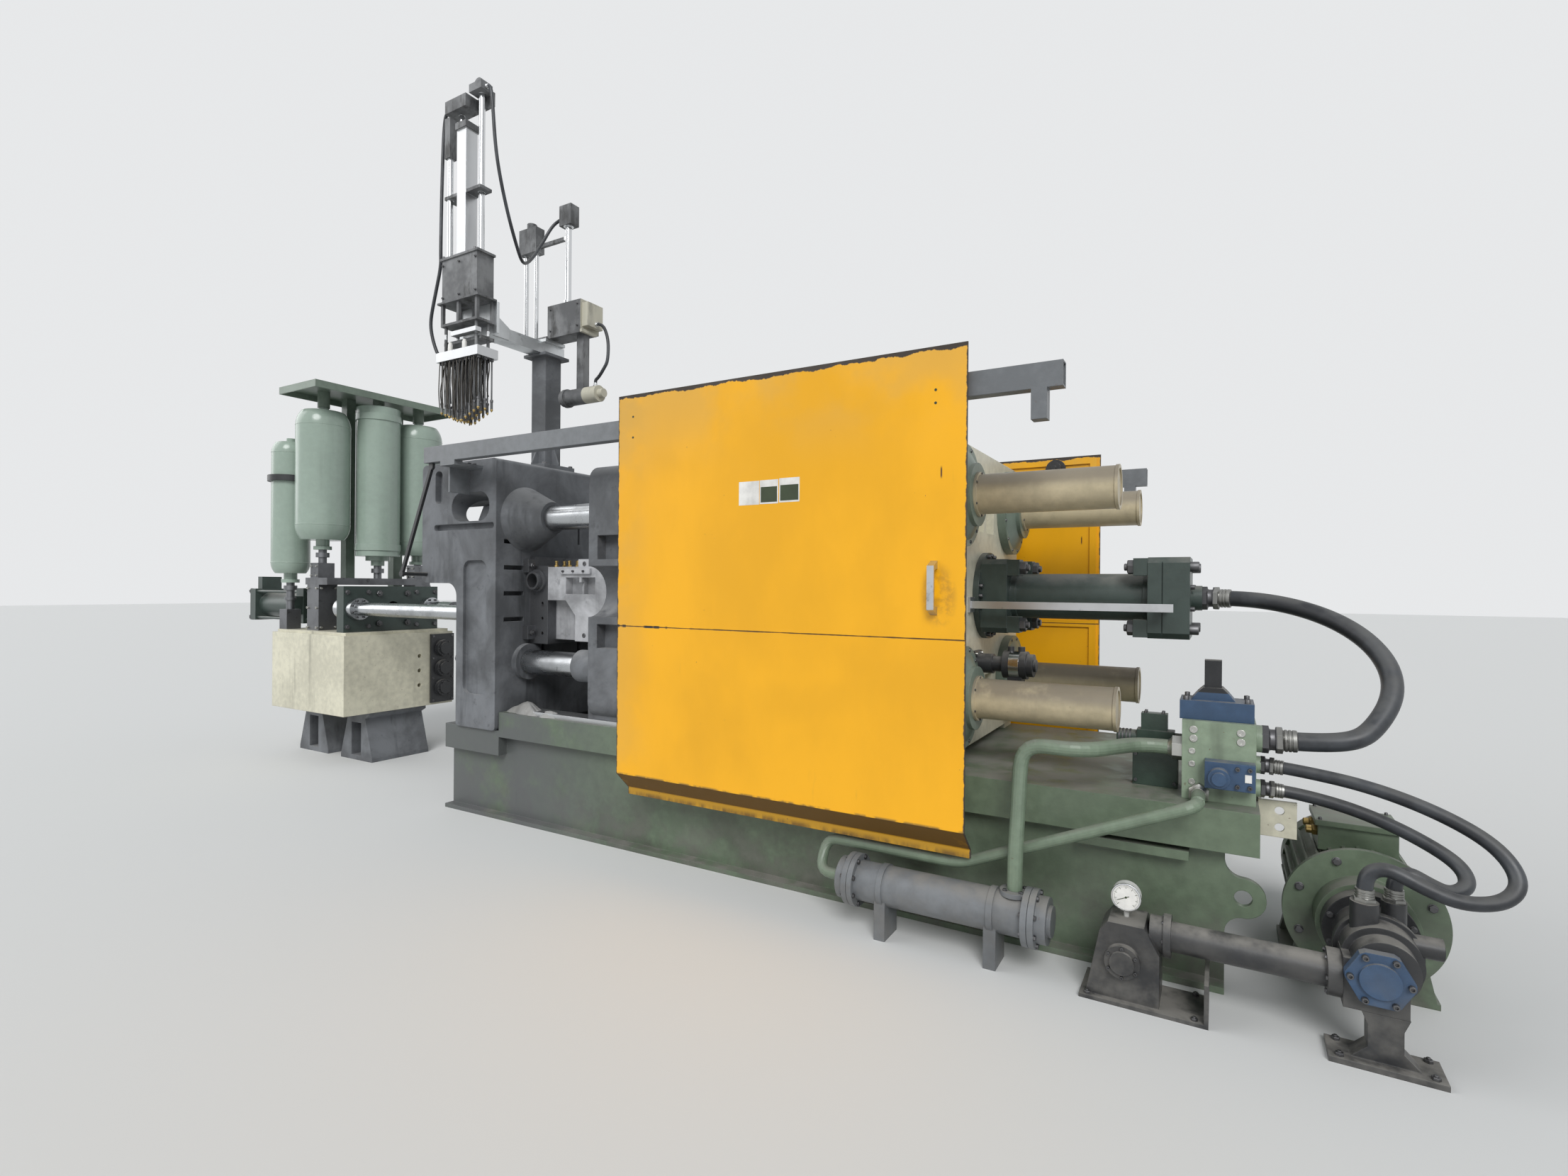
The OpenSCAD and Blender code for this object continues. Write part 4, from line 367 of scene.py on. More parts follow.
def make_finishes():
    """The finish of each material slot but door_paint: each door has its own."""
    return {
        "bed_paint": enamel("bed_enamel", (0.125, 0.168, 0.112), 0.75, 0.9, 0.8, seed=1, fallout=0.4),
        "dusty_casting": dusty_casting("dusty_casting", (0.125, 0.132, 0.142), seed=2),
        "cream_paint": enamel("cream_enamel", (0.62, 0.595, 0.47), 0.35, 0.7, 0.6, seed=3),
        "grey_green_paint": enamel("grey_green_enamel", (0.16, 0.205, 0.165), 0.5, 0.6, seed=4),
        "beige_paint": enamel("beige_enamel", (0.52, 0.445, 0.295), 0.4, 0.6, 0.2, seed=5, soot=SOOT),
        "cylinder_paint": enamel("cylinder_enamel", (0.042, 0.060, 0.053), 0.6, 0.5, seed=6),
        "black_paint": enamel("black_enamel", (0.026, 0.027, 0.029), 0.85, 0.2, 0.3, seed=7),
        "rail_paint": enamel("rail_paint", (0.155, 0.165, 0.175), 0.7, 0.5, 0.8, seed=8),
        "manifold_paint": enamel("manifold_enamel", (0.235, 0.30, 0.215), 0.4, 0.9, seed=9),
        "valve_blue": enamel("valve_blue", VALVE_BLUE, 0.7, 0.6, 0.3, seed=10),
        "pipe_paint": enamel("pipe_enamel", (0.155, 0.205, 0.145), 0.45, 0.5, seed=11),
        "bottle_paint": enamel("bottle_enamel", (0.30, 0.375, 0.32), 0.4, 0.5, 0.3, 0.2, 12, variety=0.35),
        "ground_steel": bare_metal("ground_steel", (0.60, 0.61, 0.62), 0.34, (1, 0.2, 0.2), 0.5, 13),
        "chromed_bar": bare_metal("chromed_bar", (0.52, 0.535, 0.55), 0.22, (0.1, 1, 1), 0.6, 14),
        "tool_steel": bare_metal("tool_steel", (0.20, 0.205, 0.215), 0.46, (1, 1, 1), 0.6, 15),
        "bare_aluminium": bare_metal("bare_aluminium", (0.62, 0.64, 0.65), 0.36, (1, 1, 0.08), 0.35, 16),
        "hose_rubber": hose_rubber("hose_rubber"),
        "gauge_white": enamel("gauge_case", (0.62, 0.62, 0.60), 0.3, 0.3, 0.2, seed=17),
    }


# Meshes


class Shape:
    """Points and faces of closed surfaces under construction. Faces are arrays of equal corner counts."""

    def __init__(self, points, faces):
        self.points, self.faces = np.asarray(points, float), faces


def joined(shapes):
    """One shape of many: the faces of each count on from the points before it."""
    faces, start = [], 0
    for shape in shapes:
        faces += [f + start for f in shape.faces]
        start += len(shape.points)
    return Shape(np.concatenate([s.points for s in shapes]), faces)


def loft(rings):
    """A closed body through rings of equal count, each counterclockwise about the way they follow.

    Wall (j, i) has the corners (j, i), (j, i + 1), (j + 1, i + 1), (j + 1, i). The end rings are capped."""
    rings = np.asarray(rings, float)
    count, sides = rings.shape[:2]
    index = np.arange(count * sides).reshape(count, sides)
    after = np.roll(index, -1, axis=1)
    walls = np.stack([index[:-1], after[:-1], after[1:], index[1:]], -1).reshape(-1, 4)
    return Shape(rings.reshape(-1, 3), [walls, index[:1, ::-1], index[-1:]])


def turned(profile, sides=24):
    """A body about +Z. A row of profile is (height, radius), or (height, half the width across flats, 6).

    At an angle of a degrees, a hexagon's side lies half width / cos(((a + 30) mod 60) - 30) from the axis."""
    angle = np.arange(sides) * 2 * np.pi / sides
    hexagon = 1 / np.cos((angle + np.pi / 6) % (np.pi / 3) - np.pi / 6)
    rings = []
    for row in profile:
        radius = row[1] * (hexagon if len(row) == 3 else np.ones(sides))
        rings.append(np.stack([radius * np.cos(angle), radius * np.sin(angle), np.full(sides, row[0])], 1))
    return loft(rings)


def slab(x, y, z, edge):
    """A block between two limits along each axis, its edges broken by edge."""
    rings = []
    for height, inset in ((z[0], edge), (z[0] + edge, 0), (z[1] - edge, 0), (z[1], edge)):
        x0, x1, y0, y1 = x[0] + inset, x[1] - inset, y[0] + inset, y[1] - inset
        ring = [(x0 + edge, y0), (x1 - edge, y0), (x1, y0 + edge), (x1, y1 - edge)]
        ring += [(x1 - edge, y1), (x0 + edge, y1), (x0, y1 - edge), (x0, y0 + edge)]
        rings.append([(*corner, height) for corner in ring])
    return loft(rings)


def swept(path, radius, sides):
    """A tube along path. Each ring starts where the one before it did, less what points along the path."""
    path = np.asarray(path, float)
    ahead = np.gradient(path, axis=0)
    ahead /= np.linalg.norm(ahead, axis=1)[:, None]
    angle = np.arange(sides)[:, None] * 2 * np.pi / sides
    side = np.cross(ahead[0], (0.3, 0.2, 0.9) if abs(ahead[0][2]) < 0.8 else (1, 0.2, 0))
    rings = []
    for point, way in zip(path, ahead):
        side = side - way * side.dot(way)
        side /= np.linalg.norm(side)
        rings.append(point + radius * (np.cos(angle) * side + np.sin(angle) * np.cross(way, side)))
    return loft(rings)


def curve(points, steps):
    """A smooth line through points: the Catmull-Rom cubic between each two of them."""
    p = np.asarray(points, float)
    p = np.concatenate([p[:1] * 2 - p[1:2], p, p[-1:] * 2 - p[-2:-1]])
    t = (np.arange(steps) / steps)[:, None]
    spans = []
    for a, b, c, d in zip(p, p[1:], p[2:], p[3:]):
        cubic = (2 * a - 5 * b + 4 * c - d) * t**2 + (3 * b - a - 3 * c + d) * t**3
        spans.append(0.5 * (2 * b + (c - a) * t + cubic))
    return np.concatenate([*spans, p[-2:-1]])


def facing(axis, spins):
    """Turns that carry +Z to axis, one for each angle of spins, which turns about +Z first."""
    axis = np.asarray(axis, float) / np.linalg.norm(axis)
    side = np.cross((0, 0, 1) if abs(axis[2]) < 0.9 else (0, 1, 0), axis)
    side /= np.linalg.norm(side)
    spins = np.asarray(spins, float)
    spin = np.zeros((len(spins), 3, 3))
    spin[:, 0, 0] = spin[:, 1, 1] = np.cos(spins)
    spin[:, 1, 0] = np.sin(spins)
    spin[:, 0, 1] = -spin[:, 1, 0]
    spin[:, 2, 2] = 1
    return np.stack([side, np.cross(axis, side), axis], 1) @ spin


def spread(shape, places, axis=(0, 0, 1), size=1.0, spins=None):
    """Copies of shape at places, their +Z along axis, scaled by size and each spun by its angle."""
    places = np.asarray(places, float).reshape(-1, 3)
    if spins is None:
        spins = np.arange(len(places)) * 0.7
    points = np.einsum("nij,kj->nki", facing(axis, spins), shape.points * size) + places[:, None]
    starts = np.arange(len(places)) * len(shape.points)
    faces = [(f[None] + starts[:, None, None]).reshape(-1, f.shape[1]) for f in shape.faces]
    return Shape(points.reshape(-1, 3), faces)


def circle(count, radius, centre, axis="X", phase=0.0):
    """Places on a circle about centre, square to an axis."""
    angle = np.arange(count) * 2 * np.pi / count + math.radians(phase)
    a, b, flat = radius * np.cos(angle), radius * np.sin(angle), np.zeros(count)
    order = {"X": (flat, a, b), "Y": (a, flat, b), "Z": (a, b, flat)}[axis]
    return np.stack(order, 1) + np.asarray(centre, float)


def grid(*ranges):
    """Every combination of the values along X, Y and Z."""
    return np.stack(np.meshgrid(*[np.atleast_1d(r) for r in ranges], indexing="ij"), -1).reshape(-1, 3)


def build(name, shapes, finish, body="machine"):
    """A piece of the machine from shapes: smooth, but sharp where faces meet at over 35 degrees."""
    shape = joined(shapes)
    mesh = bpy.data.meshes.new(name)
    corners = np.concatenate([f.ravel() for f in shape.faces])
    counts = np.concatenate([np.full(len(f), f.shape[1]) for f in shape.faces])
    mesh.vertices.add(len(shape.points))
    mesh.vertices.foreach_set("co", shape.points.ravel())
    mesh.loops.add(len(corners))
    mesh.loops.foreach_set("vertex_index", corners)
    mesh.polygons.add(len(counts))
    mesh.polygons.foreach_set("loop_start", np.cumsum(counts) - counts)
    mesh.update(calc_edges=True)
    mesh.polygons.foreach_set("use_smooth", np.ones(len(counts), bool))
    mesh.set_sharp_from_angle(angle=math.radians(35))
    mesh.materials.append(finish)
    piece = bpy.data.objects.new(name, mesh)
    bpy.context.scene.collection.objects.link(piece)
    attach(piece, body)
    return piece


# Fasteners, in units of half the width across flats, of the head's radius or of the hose's radius

HEX_BOLT = turned([(-0.1, 1.3), (0.15, 1.3), (0.2, 1.22), (0.2, 1.0, 6), (0.85, 1.0, 6), (1.0, 0.86, 6)], 12)
STUD_NUT = turned([(-0.1, 1, 6), (0.8, 1, 6), (0.92, 0.88, 6), (0.92, 0.56), (1.3, 0.56), (1.38, 0.48)], 12)
CAP_SCREW = turned([(-0.2, 1.0), (1.4, 1.0), (1.55, 0.9), (1.55, 0.52, 6), (0.8, 0.52, 6)], 12)
PLUG = turned([(-0.1, 1.25), (0.2, 1.25), (0.3, 1.15), (0.3, 0.5, 6), (0.05, 0.5, 6)], 12)
FERRULE = turned([
    (-0.02, 1.26, 6), (0.5, 1.26, 6), (0.58, 1.14), (0.66, 1.1), (0.72, 1.2), (0.92, 1.2), (0.97, 1.12),
    (1.04, 1.12), (1.09, 1.2), (1.28, 1.2), (1.33, 1.12), (1.4, 1.12), (1.45, 1.2), (1.8, 1.18), (1.9, 0.99),
])
ADAPTER = turned([
    (-0.02, 1.32, 6), (0.6, 1.32, 6), (0.68, 1.2), (0.8, 1.14), (1.2, 1.14), (1.24, 1.24, 6), (1.62, 1.24, 6),
    (1.68, 1.1),
])

# Hoses: their radii, and their routes from fitting to fitting

CLOSING_RADIUS, PUMP_RADIUS, AIR_RADIUS = 0.035, 0.023, 0.011
CLOSING_ROUTE = [
    (3.955, 0, 1.475), (3.975, 0, 1.475), (4.06, -0.008, 1.477), (4.19, -0.05, 1.471),
    (4.36, -0.12, 1.435), (4.51, -0.21, 1.355), (4.60, -0.31, 1.235), (4.60, -0.41, 1.105),
    (4.51, -0.48, 1.005), (4.48, -0.542, 0.958), (4.33, -0.53, 0.942), (4.19, -0.53, 0.94),
    (4.17, -0.53, 0.94),
]
UPPER_ROUTE = [
    (4.166, -0.53, 0.84), (4.186, -0.53, 0.84), (4.29, -0.545, 0.835), (4.48, -0.59, 0.815),
    (4.66, -0.64, 0.765), (4.80, -0.69, 0.69), (4.85, -0.74, 0.60), (4.80, -0.79, 0.54),
    (4.69, -0.83, 0.53), (4.59, -0.836, 0.565), (4.51, -0.828, 0.598), (4.458, -0.82, 0.57),
    (4.45, -0.82, 0.50), (4.45, -0.82, 0.48),
]
LOWER_ROUTE = [
    (4.166, -0.53, 0.75), (4.186, -0.53, 0.75), (4.29, -0.52, 0.742), (4.45, -0.54, 0.715),
    (4.60, -0.58, 0.665), (4.72, -0.63, 0.60), (4.74, -0.68, 0.545), (4.69, -0.715, 0.52),
    (4.63, -0.735, 0.545), (4.578, -0.74, 0.57), (4.544, -0.74, 0.54), (4.54, -0.74, 0.49),
    (4.54, -0.74, 0.47),
]
TOWER_ROUTE = [
    (-0.376, -0.81, 4.62), (-0.396, -0.81, 4.62), (-0.434, -0.81, 4.54), (-0.442, -0.818, 4.12),
    (-0.438, -0.826, 3.72), (-0.448, -0.82, 3.604), (-0.494, -0.83, 3.404), (-0.534, -0.83, 3.234),
    (-0.50, -0.814, 3.074), (-0.454, -0.80, 2.998), (-0.424, -0.80, 2.984), (-0.404, -0.80, 2.984),
]
LIFT_ROUTE = [
    (-0.024, -0.80, 4.675), (-0.004, -0.80, 4.675), (0.024, -0.798, 4.605), (0.032, -0.77, 4.255),
    (0.030, -0.69, 3.955), (0.002, -0.58, 3.745), (-0.06, -0.47, 3.685), (-0.112, -0.355, 3.77),
    (-0.13, -0.255, 3.91), (-0.10, -0.185, 4.06), (-0.04, -0.155, 4.11), (-0.02, -0.155, 4.11),
]
GRIP_ROUTE = [
    (0.272, -0.125, 3.32), (0.292, -0.125, 3.32), (0.352, -0.131, 3.286), (0.40, -0.141, 3.18),
    (0.408, -0.153, 3.05), (0.384, -0.161, 2.994), (0.334, -0.157, 2.944), (0.304, -0.155, 2.926),
    (0.30, -0.155, 2.904), (0.30, -0.155, 2.884),
]


def eased(points, passes):
    """A dense line through points. Each pass takes all but the three at each end halfway to the mean of their
    neighbours."""
    path = curve(points, 8)
    for _ in range(passes):
        path[3:-3] = path[3:-3] / 2 + (path[2:-4] + path[4:-2]) / 4
    return path


def add_hose(name, node, points, diameter, finish, passes):
    """A smooth hose along the route of its solid, which it hides."""
    path = eased(points, passes)
    hose = build(name, [swept(path, diameter / 2, 24)], finish)
    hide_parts(node)
    return path


def fitted(fitting, path, radius, distance=0.0):
    """A fitting of a hose's radius that starts at a distance along its path and points the way it goes."""
    steps = np.linalg.norm(np.diff(path, axis=0), axis=1)
    first = int(np.searchsorted(np.cumsum(steps), distance))
    last = int(np.searchsorted(np.cumsum(steps), distance + 1.6 * radius)) + 1
    return spread(fitting, [path[first]], path[last] - path[first], radius)


def add_hoses(finish):
    """The three pressure hoses at the clamp end and the three air lines of the sprayer and the extractor."""
    closing = add_hose("closing_hose", "pressure_hoses", CLOSING_ROUTE, 2 * CLOSING_RADIUS, finish, 60)
    pumped = [
        add_hose("upper_pump_hose", "pressure_hoses", UPPER_ROUTE, 2 * PUMP_RADIUS, finish, 8),
        add_hose("lower_pump_hose", "pressure_hoses", LOWER_ROUTE, 2 * PUMP_RADIUS, finish, 8),
    ]
    for name, route in (("tower_line", TOWER_ROUTE), ("lift_line", LIFT_ROUTE), ("gripper_line", GRIP_ROUTE)):
        add_hose(name, "sprayer_hoses", route, 2 * AIR_RADIUS, finish, 6)
    black = bare_metal("black_fitting", (0.12, 0.12, 0.125), 0.42, film=0.6, seed=31, edge=0.001)
    crimped = bare_metal("crimped_steel", (0.30, 0.30, 0.285), 0.36, film=0.5, seed=30, edge=0.001)
    ends = [(path, PUMP_RADIUS) for path in pumped]
    ends += [(closing, CLOSING_RADIUS), (closing[::-1], CLOSING_RADIUS)]
    build("hose_adapters", [fitted(ADAPTER, path, r) for path, r in ends], black)
    sleeves = [fitted(FERRULE, path, r, 1.65 * r) for path, r in ends]
    sleeves += [fitted(FERRULE, path[::-1], PUMP_RADIUS) for path in pumped]
    build("hose_ferrules", sleeves, crimped)


# Fittings

FRONT, BACK = (0, -1, 0), (0, 1, 0)
RIGHT, LEFT = (1, 0, 0), (-1, 0, 0)
UP, DOWN = (0, 0, 1), (0, 0, -1)
AXIS_Z = 1.475
BAR_CENTRES = [(y, z) for y in (-0.475, 0.475) for z in (1.0, 1.95)]
PLATEN_BACK = 2.95
FRONT_BOTTLE, MIDDLE_BOTTLE = (-2.79, -0.305), (-2.63, 0.095)
REAR_BOTTLE, END_BOTTLE = (-2.65, 0.5), (-3.165, -0.38)


def fit_clamp_end(bolt, zinc, steel):
    """Screws of the adjuster flanges, the covers' collars, the closing cylinder and the height motor."""
    face = PLATEN_BACK + 0.045
    heads = []
    for y, z in BAR_CENTRES:
        heads.append(spread(CAP_SCREW, circle(12, 0.224, (face - 0.008, y, z), phase=15), RIGHT, 0.0078))
        heads.append(spread(HEX_BOLT, circle(6, 0.0985, (3.062, y, z), phase=30), RIGHT, 0.0045))
    build("adjuster_screws", heads, bolt)
    turns = np.radians([quarter + off for quarter in (0, 90, 180, 270) for off in (-14, 0, 14)])
    disc = [(2.98, 0.207 * math.cos(a), AXIS_Z + 0.207 * math.sin(a)) for a in turns]
    lugs = grid(0.0, (-0.141, 0.141), (AXIS_Z - 0.141, AXIS_Z + 0.141))
    nuts = [
        spread(CAP_SCREW, disc, RIGHT, 0.0105),
        spread(STUD_NUT, lugs + (3.17, 0, 0), RIGHT, 0.030),
        spread(STUD_NUT, lugs + (3.68, 0, 0), LEFT, 0.030),
        spread(CAP_SCREW, lugs + (3.91, 0, 0), RIGHT, 0.023),
        spread(CAP_SCREW, grid(3.91, (-0.082, 0.082), (AXIS_Z - 0.05, AXIS_Z + 0.05)), RIGHT, 0.011),
    ]
    build("closing_cylinder_nuts", nuts, bolt)
    motor_y, motor_z = -0.17, AXIS_Z - 0.34
    flange = grid(2.968, (motor_y - 0.049, motor_y + 0.049), (motor_z - 0.049, motor_z + 0.049))
    build("height_motor_screws", [spread(CAP_SCREW, flange, RIGHT, 0.007)], zinc)
    band = turned([(-0.024, 0.0684), (-0.024, 0.0692), (0.024, 0.0692), (0.024, 0.0684)], 40)
    build("height_motor_band", [spread(band, [(3.155, motor_y, motor_z)], RIGHT)], steel)
    gland = turned([(0, 0.013, 6), (0.010, 0.013, 6), (0.012, 0.011), (0.024, 0.010), (0.026, 0.007)], 12)
    build("height_motor_glands", [spread(gland, [(3.13, motor_y, motor_z - 0.064)], DOWN)], zinc)


def fit_power_pack(bolt, zinc, brass):
    """Screws, plugs and unions of the manifold, its valves, the cooler, filter, pump and motor."""
    front, end = -0.60, 4.15
    cooler_axis, suction_axis = (-0.905, 0.215), (-0.885, 0.25)
    motor_x, motor_z, eye_y = 4.49, 0.31, -0.0975
    plugs = [
        spread(PLUG, grid((3.94, 4.10), front, (0.93, 0.965)), FRONT, 0.012),
        spread(PLUG, grid(3.935, front, (0.76, 0.83, 0.88)), FRONT, 0.010),
        spread(PLUG, grid(end, (-0.46, -0.41), (0.75, 0.84, 0.94)), RIGHT, 0.014),
    ]
    build("manifold_plugs", plugs, zinc)
    screws = [
        spread(CAP_SCREW, grid((3.912, 4.122), (-0.552, -0.418), 1.074), UP, 0.010),
        spread(CAP_SCREW, grid((4.088, 4.128), -0.664, (0.774, 0.840)), FRONT, 0.008),
        spread(CAP_SCREW, grid((3.757, 3.823), (-0.435, -0.395), 0.99), UP, 0.006),
        spread(CAP_SCREW, grid((3.722, 3.868), -0.46, (0.71, 0.82)), FRONT, 0.007),
        spread(CAP_SCREW, circle(6, 0.052, (3.729, -0.995, 0.16), "Y", 30), FRONT, 0.006),
        spread(CAP_SCREW, circle(6, 0.077, (4.47, -0.984, 0.29), "Y"), FRONT, 0.0095),
        spread(CAP_SCREW, grid((4.372, 4.608), (-0.35, -0.14), 0.616), UP, 0.006),
        spread(CAP_SCREW, grid(4.172, (-0.47, -0.43), (0.59, 0.675)), RIGHT, 0.009),
    ]
    build("valve_screws", screws, bolt)
    bolts = []
    for x, way in ((2.61, LEFT), (2.66, RIGHT), (3.37, LEFT), (3.42, RIGHT)):
        bolts.append(spread(HEX_BOLT, circle(8, 0.0995, (x, *cooler_axis), phase=22.5), way, 0.0085))
    bolts += [
        spread(HEX_BOLT, circle(4, 0.0445, (3.327, -0.905, 0.312), "Z", 45), UP, 0.0075),
        spread(HEX_BOLT, circle(6, 0.0635, (3.858, *suction_axis), "X"), LEFT, 0.006),
        spread(HEX_BOLT, circle(6, 0.0635, (4.34, *suction_axis), "X"), LEFT, 0.006),
        spread(HEX_BOLT, circle(8, 0.1255, (motor_x, -0.66, motor_z), "Y", 22.5), FRONT, 0.0085),
        spread(HEX_BOLT, circle(8, 0.212, (motor_x, -0.505, motor_z), "Y", 22.5), FRONT, 0.012),
        spread(STUD_NUT, grid((4.37, 4.61), (-0.965, -0.865), 0.018), UP, 0.011),
        spread(STUD_NUT, grid((3.61, 3.96), (-0.978, -0.792), 0.014), UP, 0.010),
        spread(HEX_BOLT, grid((4.31, 4.67), (-0.405, 0.03), 0.022), UP, 0.011),
    ]
    build("power_pack_bolts", bolts, bolt)
    wide = turned([(0, 0.042, 6), (0.036, 0.042, 6), (0.042, 0.036), (0.052, 0.0305)])
    narrow = turned([(0, 0.034, 6), (0.030, 0.034, 6), (0.035, 0.030), (0.044, 0.0245)])
    unions = [spread(wide, [(3.90, -0.54, 0.875)], LEFT), spread(narrow, [(3.96, -0.60, 0.72)], FRONT)]
    build("pipe_unions", unions, zinc)
    ribs = turned([(-0.004, 0.0315), (-0.003, 0.0345), (0.003, 0.0345), (0.004, 0.0315)], 28)
    coils = [(x, -0.415, 0.88) for x in (3.655, 3.669, 3.683, 3.697)]
    build("solenoid_ribs", [spread(ribs, coils, RIGHT)], bolt)
    turns = np.linspace(0.01, 6.27, 25)
    eye = [(motor_x + 0.024 * math.sin(a), eye_y, 0.584 + 0.024 * math.cos(a)) for a in turns]
    shank = turned([(-0.002, 0.021), (0.006, 0.021), (0.008, 0.012), (0.014, 0.010)], 20)
    build("motor_lifting_eye", [swept(eye, 0.007, 8), spread(shank, [(motor_x, eye_y, 0.554)])], zinc)
    gland = turned([(0, 0.019, 6), (0.014, 0.019, 6), (0.017, 0.016), (0.034, 0.015), (0.037, 0.010)], 12)
    build("motor_glands", [spread(gland, [(4.365, -0.19, 0.56), (4.365, -0.30, 0.56)], LEFT)], brass)


def fit_gauge(steel, white, black):
    """The gauge's bezel and dial: ticks over three quarters of a turn and a needle near its start."""
    centre = (3.733, -0.91, 0.37)
    bezel = turned([(-0.002, 0.0515), (0.003, 0.0525), (0.006, 0.051), (0.007, 0.047), (0.003, 0.0455)], 40)
    build("gauge_bezel", [spread(bezel, [centre], FRONT)], steel)
    build("gauge_dial", [spread(turned([(0.0031, 0.0452), (0.0036, 0.0452)], 40), [centre], FRONT)], white)
    turn = math.radians(270)
    fine = spread(slab((0.037, 0.042), (-0.0004, 0.0004), (0.0035, 0.0040), 0.0001), [centre] * 41, FRONT,
                  spins=math.radians(-45) + turn * np.arange(41) / 40)
    bold = spread(slab((0.033, 0.042), (-0.0008, 0.0008), (0.0035, 0.0041), 0.0001), [centre] * 9, FRONT,
                  spins=math.radians(-45) + turn * np.arange(9) / 8)
    needle = spread(slab((-0.012, 0.034), (-0.0011, 0.0011), (0.0042, 0.0050), 0.0002), [centre], FRONT,
                    spins=[math.radians(205)])
    hub = spread(turned([(0.0034, 0.004), (0.0055, 0.0035)], 16), [centre], FRONT)
    build("gauge_marks", [fine, bold, needle, hub], black)


def fit_doors(white, dark):
    """Three bare plates on the front door, two with a dark field, and dark disks of painted shade where its
    drilled holes are.
    """
    face, top = -0.971, 2.010
    plates, panels = [], []
    for left, right, drop in ((2.036, 2.150, 0.0), (2.153, 2.254, 0.001), (2.259, 2.367, 0.004)):
        z = (top - 0.112 + drop, top + drop)
        plates.append(slab((left, right), (face - 0.0006, face + 0.0005), z, 0.0002))
        if left > 2.1:
            field = (z[0] + 0.008, z[1] - 0.032)
            panels.append(slab((left + 0.006, right - 0.006), (face - 0.0009, face), field, 0.0001))
    build("door_plates", plates, white, "front_door")
    build("door_plate_fields", panels, dark, "front_door")
    # Painted shade: each drilled hole is a dark rimmed disk on the door's face, standing for the shade inside
    # it.
    rim = turned([(-0.001, 0.0062), (0.0008, 0.0058), (0.0008, 0.0042), (0.0001, 0.004)], 16)
    holes = [(1.369, face, 2.394), (1.369, face, 2.286), (3.006, face, 2.330), (3.006, face, 2.276)]
    build("door_holes", [spread(rim, holes, FRONT)], dark, "front_door")


def fit_shot_end(bolt, zinc):
    """Nuts of the shot cylinder and its head plate, screws of the valve blocks, anchors of the feet."""
    z = 1.30
    corners = grid(0.0, (-0.129, 0.129), (z - 0.129, z + 0.129))
    nuts = [
        spread(STUD_NUT, corners + (-2.24, 0, 0), RIGHT, 0.023),
        spread(STUD_NUT, corners + (-4.37, 0, 0), LEFT, 0.026),
        spread(HEX_BOLT, grid(-2.24, (-0.40, -0.22, 0.22, 0.40), (1.15, 1.44)), RIGHT, 0.016),
    ]
    for y in (-0.33, 0.33):
        nuts.append(spread(CAP_SCREW, circle(8, 0.073, (-2.17, y, z), phase=22.5), RIGHT, 0.0085))
        nuts.append(spread(CAP_SCREW, circle(8, 0.078, (-0.45, y, z), phase=22.5), LEFT, 0.0095))
    for boss in (0.57, 0.75, 0.93):
        nuts.append(spread(CAP_SCREW, circle(6, 0.066, (-2.09, 0.41, boss)), RIGHT, 0.006))
    nuts.append(spread(HEX_BOLT, grid(-2.128, (0.315, 0.505), (0.46, 0.66, 0.84, 1.04)), RIGHT, 0.009))
    build("shot_end_nuts", nuts, bolt)
    feet = [grid((x - 0.195, x + 0.195), (-0.18, 0.0, 0.23), 0.03) for x in (-2.38, -3.04)]
    anchors = [spread(STUD_NUT, foot, UP, 0.018) for foot in feet]
    build("pedestal_anchors", anchors, bolt)
    screws = []
    for x, y in (FRONT_BOTTLE, REAR_BOTTLE):
        screws += [
            spread(CAP_SCREW, grid((x - 0.07, x + 0.07), y - 0.08, (1.13, 1.30, 1.47)), FRONT, 0.010),
            spread(CAP_SCREW, grid(x + 0.09, (y - 0.06, y + 0.06), (1.13, 1.47)), RIGHT, 0.010),
            spread(CAP_SCREW, grid((x - 0.04, x + 0.04), y - 0.07, (1.58, 1.66)), FRONT, 0.008),
        ]
    for bottle in (FRONT_BOTTLE, MIDDLE_BOTTLE, REAR_BOTTLE):
        screws.append(spread(HEX_BOLT, circle(6, 0.072, (*bottle, 3.20), "Z"), UP, 0.010))
    build("accumulator_screws", screws, zinc)


def fit_bottles(finish):
    """Weld beads round three gas bottles, where their domes meet the shells."""
    beads = []
    for bottle, r, low, high in (
        (FRONT_BOTTLE, 0.21, 1.89, 3.01), (REAR_BOTTLE, 0.21, 1.78, 3.01), (END_BOTTLE, 0.15, 1.60, 2.76)
    ):
        crown, foot = r + 0.0016, r - 0.001
        bead = turned([(-0.006, foot), (-0.003, crown), (0.003, crown), (0.006, foot)], 64)
        for z in (low + r * 0.62, high - r * 0.62):
            beads.append(spread(bead, [(*bottle, z)]))
    build("bottle_welds", beads, finish)


